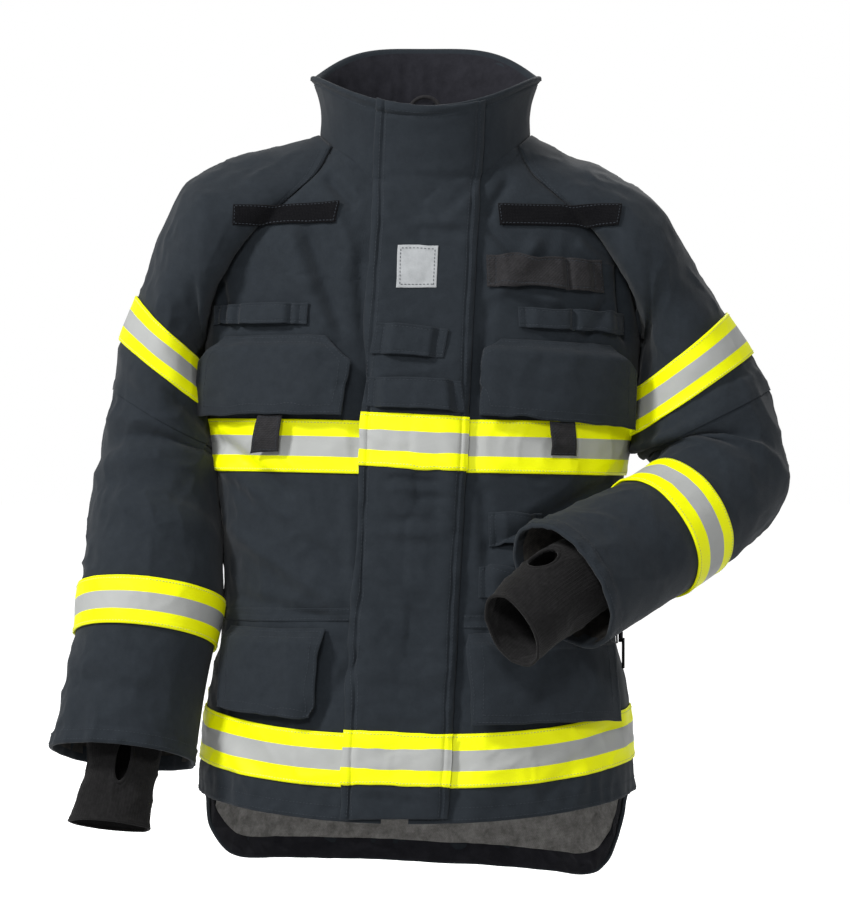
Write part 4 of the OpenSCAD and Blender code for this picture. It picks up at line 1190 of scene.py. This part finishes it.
# ---------------------------------------------------------------- straps and strips on the chest and waist
for name, field, where, thick, mat, slot, flat, bars in (
        ("radio_loop_webbing", whole_front, ((64, 65), (176, 178), (-111, -114), (-142, -146)), 2.2, WEBBING,
         "black_webbing", 9.0, (0.68,)),
        ("left_utility_loop_cloth", whole_front, ((94, 95), (198, 197), (-161, -165), (-181, -187)), 2.0, EDGE,
         "shell", 7.0, (0.5,)),
        ("right_utility_loop_cloth", whole_front, ((-203, -203), (-106, -108), -157, (-176, -178)), 2.0, EDGE,
         "shell", 7.0, (0.18, 0.3, 0.84)),
        ("torch_loop_cloth", body_front, ((66, 66), (116, 118), -359, -392), 2.0, EDGE, "shell", 6.0, ()),
        ("glove_loop_cloth", body_front, ((56, 56), (116, 116), -411, -440), 2.0, EDGE, "shell", 6.0, ()),
):
    strap(name, field, *where, 1.4, 6.0, thick, mat, "coat", slot, flat, bars)


def name_strip(name, x0, x1, z0, z1):
    obj, top, n, u, v = laid_piece(name, whole_front, x0, x1, z0, z1, 1.6, 1.8, None, 1.6, 0.9)
    finish_piece(obj, BLACK, "coat", stem(name))
    for path in frame_path(0.015, 0.09):
        stitch_in((top, n), u, v, path, "coat")


name_strip("right_name_strip_pile", (-181, -182), (-78, -81), (-62, -59), (-81, -79))
name_strip("left_name_strip_pile", (76, 77), (196, 192), (-61, -61), (-82, -82))


# ---------------------------------------------------------------- lining, seen inside the hem and the tail
def inner_sheet(name, a0, a1, l0, l1, count, rows, inset, folds, mat, node_names):
    angle, level = np.meshgrid(np.linspace(a0, a1, count), np.linspace(l0, l1, rows), indexing="ij")
    p = torso(level, angle)
    n = torso_normals(p)
    q = p + n * (torso_folds(p) - inset - folds(p, level, angle))[..., None]
    finish_piece(sheet_mesh(name, q), mat, "coat", node_names)


def quilt(p, level, angle):
    s = np.radians(angle) * 175
    z = p[..., 2]
    a, b = (s + z) / 38, (s - z) / 38
    pad = np.abs(np.sin(np.pi * a) * np.sin(np.pi * b)) ** 0.35
    return 1.6 * pad + 0.8 * noise(p + 12, 22)


inner_sheet("quilted_lining_cloth", 9, 351, 5.5, 13.62, 330, 190, 6.0, quilt, LINING, ("quilted_lining",))
inner_sheet("moisture_barrier_cloth", 9, 351, 5.5, 13.4, 120, 60, 4.6, lambda p, l, a: 0.2 * noise(p, 30),
            LINING, ("moisture_barrier",))
inner_sheet("tail_facing_cloth", 94, 266, 13.5, 13.97, 230, 22, 4.6, lambda p, l,
            a: 1.6 * (ridges(p + 40 * p[..., 2:] / 60, (17, 17, 40)) - 0.3), FACING, ())
inner_sheet("zip_facing_cloth", -12, 12, 0.4, 13.75, 24, 150, 6.4, lambda p, l, a: 0.5 * noise(p, 26), FACING,
            ())
inner_sheet("yoke_lining_cloth", 130, 230, 0.1, 5.6, 90, 60, 5.0, lambda p, l, a: 0.5 * noise(p, 30), FACING,
            ())


# ---------------------------------------------------------------- knitted wristlets
def wristlet(side, hole, word, body):
    """A ribbed tube with an oval thumb opening. hole is (turn, share of the length, half turn, half share)."""
    turn = np.linspace(0, 360, 288, endpoint=False)
    rings = tube(WRISTLETS[side], turn)
    t = np.linspace(0, 2, 66)
    p = np.moveaxis(spline(rings, t), 0, 1)
    n = normals(p, True)
    n = out_from(p, n, p.mean(0, keepdims=True))
    a, b = np.broadcast_arrays(wrap(turn - hole[0])[:, None], (t / 2)[None, :])
    r = np.hypot(a / hole[2], (b - hole[1]) / hole[3])
    rib = 0.13 * np.cos(np.radians(turn) * 72)[:, None]
    d = rib + 1.8 * noise(p + 9, (22, 22, 26)) + 2.0 * (ridges(p + 3, (20, 20, 24)) - 0.5) * ease(b / 0.3)
    d = d + 1.0 * ease((0.06 - (1 - b)) / 0.04) + 1.3 * bell(r - 1.25, 0.18)
    q = p + n * d[..., None]
    keep = np.ones((len(turn), len(t) - 1), bool)
    rr = np.maximum.reduce([r[:, :-1], np.roll(r, -1, 0)[:, :-1], r[:, 1:], np.roll(r, -1, 0)[:, 1:]])
    keep &= rr > 1.0
    inner_layer = q - n * 1.9
    obj = sheet_mesh(f"{word}_wristlet_knit", q, True, q.reshape(-1, 3).mean(0), keep)
    finish_piece(obj, KNIT, body, (f"{word}_wristlet",))
    lining = sheet_mesh(f"{word}_wristlet_inside", inner_layer, True, None, keep)
    finish_piece(lining, KNIT, body, ())
    # the bound edge of the thumb opening and of the open end
    k = np.radians(np.linspace(0, 360, 72, endpoint=False))
    edge_turn, edge_share = hole[0] + hole[2] * 1.04 * np.cos(k), hole[1] + hole[3] * 1.04 * np.sin(k)
    c = spline(WRISTLETS[side], edge_share * 2)
    tt = np.radians(edge_turn)[:, None]
    centre = c[:, 0] + np.cos(tt) * c[:, 1] + np.sin(tt) * c[:, 2]
    up = np.cos(tt) * c[:, 1] + np.sin(tt) * c[:, 2]
    rope(f"{word}_thumb_edge", centre, up, 1.7, KNIT, body)
    rope(f"{word}_wristlet_end", q[:, -1] - n[:, -1] * 0.9, n[:, -1], 1.5, KNIT, body)


def rope(name, centre, up, radius, mat, body):
    """A closed round edge along a loop of points."""
    up = unit(up)
    w = unit(np.cross(unit(np.roll(centre, -1, 0) - np.roll(centre, 1, 0)), up))
    k = np.radians(np.linspace(0, 360, 8, endpoint=False))
    p = (centre[:, None] + radius * (np.cos(k)[None, :, None] * up[:, None] + np.sin(k)[None, :, None] * w[:,
                                                                                                           None]))
    count = len(centre)
    faces = [[i * 8 + j, (i + 1) % count * 8 + j, (i + 1) % count * 8 + (j + 1) % 8, i * 8 + (j + 1) % 8]
             for i in range(count) for j in range(8)]
    finish_piece(add_mesh(name, p.reshape(-1, 3), faces), mat, body, ())


wristlet(-1, (95, 0.42, 13, 0.2), "right", "right_forearm")
wristlet(1, (150, 0.4, 22, 0.17), "left", "left_forearm")
build_stitches()

# ---------------------------------------------------------------- carried-over solids
for name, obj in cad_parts.items():
    if obj.hide_render:
        continue
    metal = "teeth" in name or "slider" in name or name in ("zip_pull", "zip_bottom_stop")
    soft = WEBBING if "zip_tape" in name or "loop" in name else BLACK
    for k in range(len(obj.data.materials)):
        obj.data.materials[k] = STEEL if metal and "side" not in name else soft


# ---------------------------------------------------------------- studio
def studio_look(tree, shader):
    tone = two_tone(tree, object_noise(tree, 2, 2, 0.5), 0.2, 0.8, (0.86, 0.86, 0.86), (0.88, 0.88, 0.88))
    tree.links.new(tone, shader.inputs["Base Color"])
    shader.inputs["Emission Color"].default_value = (1, 1, 1, 1)
    shader.inputs["Emission Strength"].default_value = 0.75


ground = np.array([[[x, y, -790] for y in (-30000, 0, 30000)] for x in (-30000, 0, 30000)], float)
floor = sheet_mesh("floor", ground, outward=np.array([0, 0, -900]))
floor.visible_diffuse = False
floor.data.materials.append(material("studio_floor", (0.87, 0.87, 0.87), 0.9, studio_look))


def area(name, at, aim, size, power):
    light = bpy.data.lights.new(name, "AREA")
    light.shape, light.size, light.energy = "DISK", size, power
    obj = bpy.data.objects.new(name, light)
    bpy.context.scene.collection.objects.link(obj)
    obj.location = at
    direction = np.array(aim) - np.array(at)
    obj.rotation_euler = Vector(direction).to_track_quat("-Z", "Y").to_euler()


area("key", (-2.5, -1.9, 1.9), (0, 0, -0.35), 0.7, 122)
area("front", (-0.4, -3.4, 0.9), (0, 0, -0.4), 0.6, 48)
area("rim", (0.9, 2.4, 1.6), (0, 0, -0.2), 1.4, 40)
world = bpy.data.worlds.new("studio")
bpy.context.scene.world = world
world.use_nodes = True
soft = world.node_tree.nodes["Background"]
soft.inputs["Color"].default_value = (1, 1, 1, 1)
soft.inputs["Strength"].default_value = 0.4
seen = node(world.node_tree, "ShaderNodeBackground")
seen.inputs["Strength"].default_value = 1.0
seen.inputs["Color"].default_value = (1, 1, 1, 1)
ray = node(world.node_tree, "ShaderNodeLightPath").outputs["Is Camera Ray"]
both = node(world.node_tree, "ShaderNodeMixShader", [(ray, 0), (soft.outputs[0], 1), (seen.outputs[0], 2)])
world.node_tree.links.new(both.outputs[0], world.node_tree.nodes["World Output"].inputs[0])
bpy.context.scene.view_settings.view_transform = "Standard"

lens = bpy.data.cameras.new("camera")
camera = bpy.data.objects.new("camera", lens)
bpy.context.scene.collection.objects.link(camera)
camera.location = (0.005, -3.0, -0.310)
camera.rotation_euler = (np.pi / 2, 0, 0)
lens.sensor_width, lens.lens = 36, 117
bpy.context.scene.camera = camera
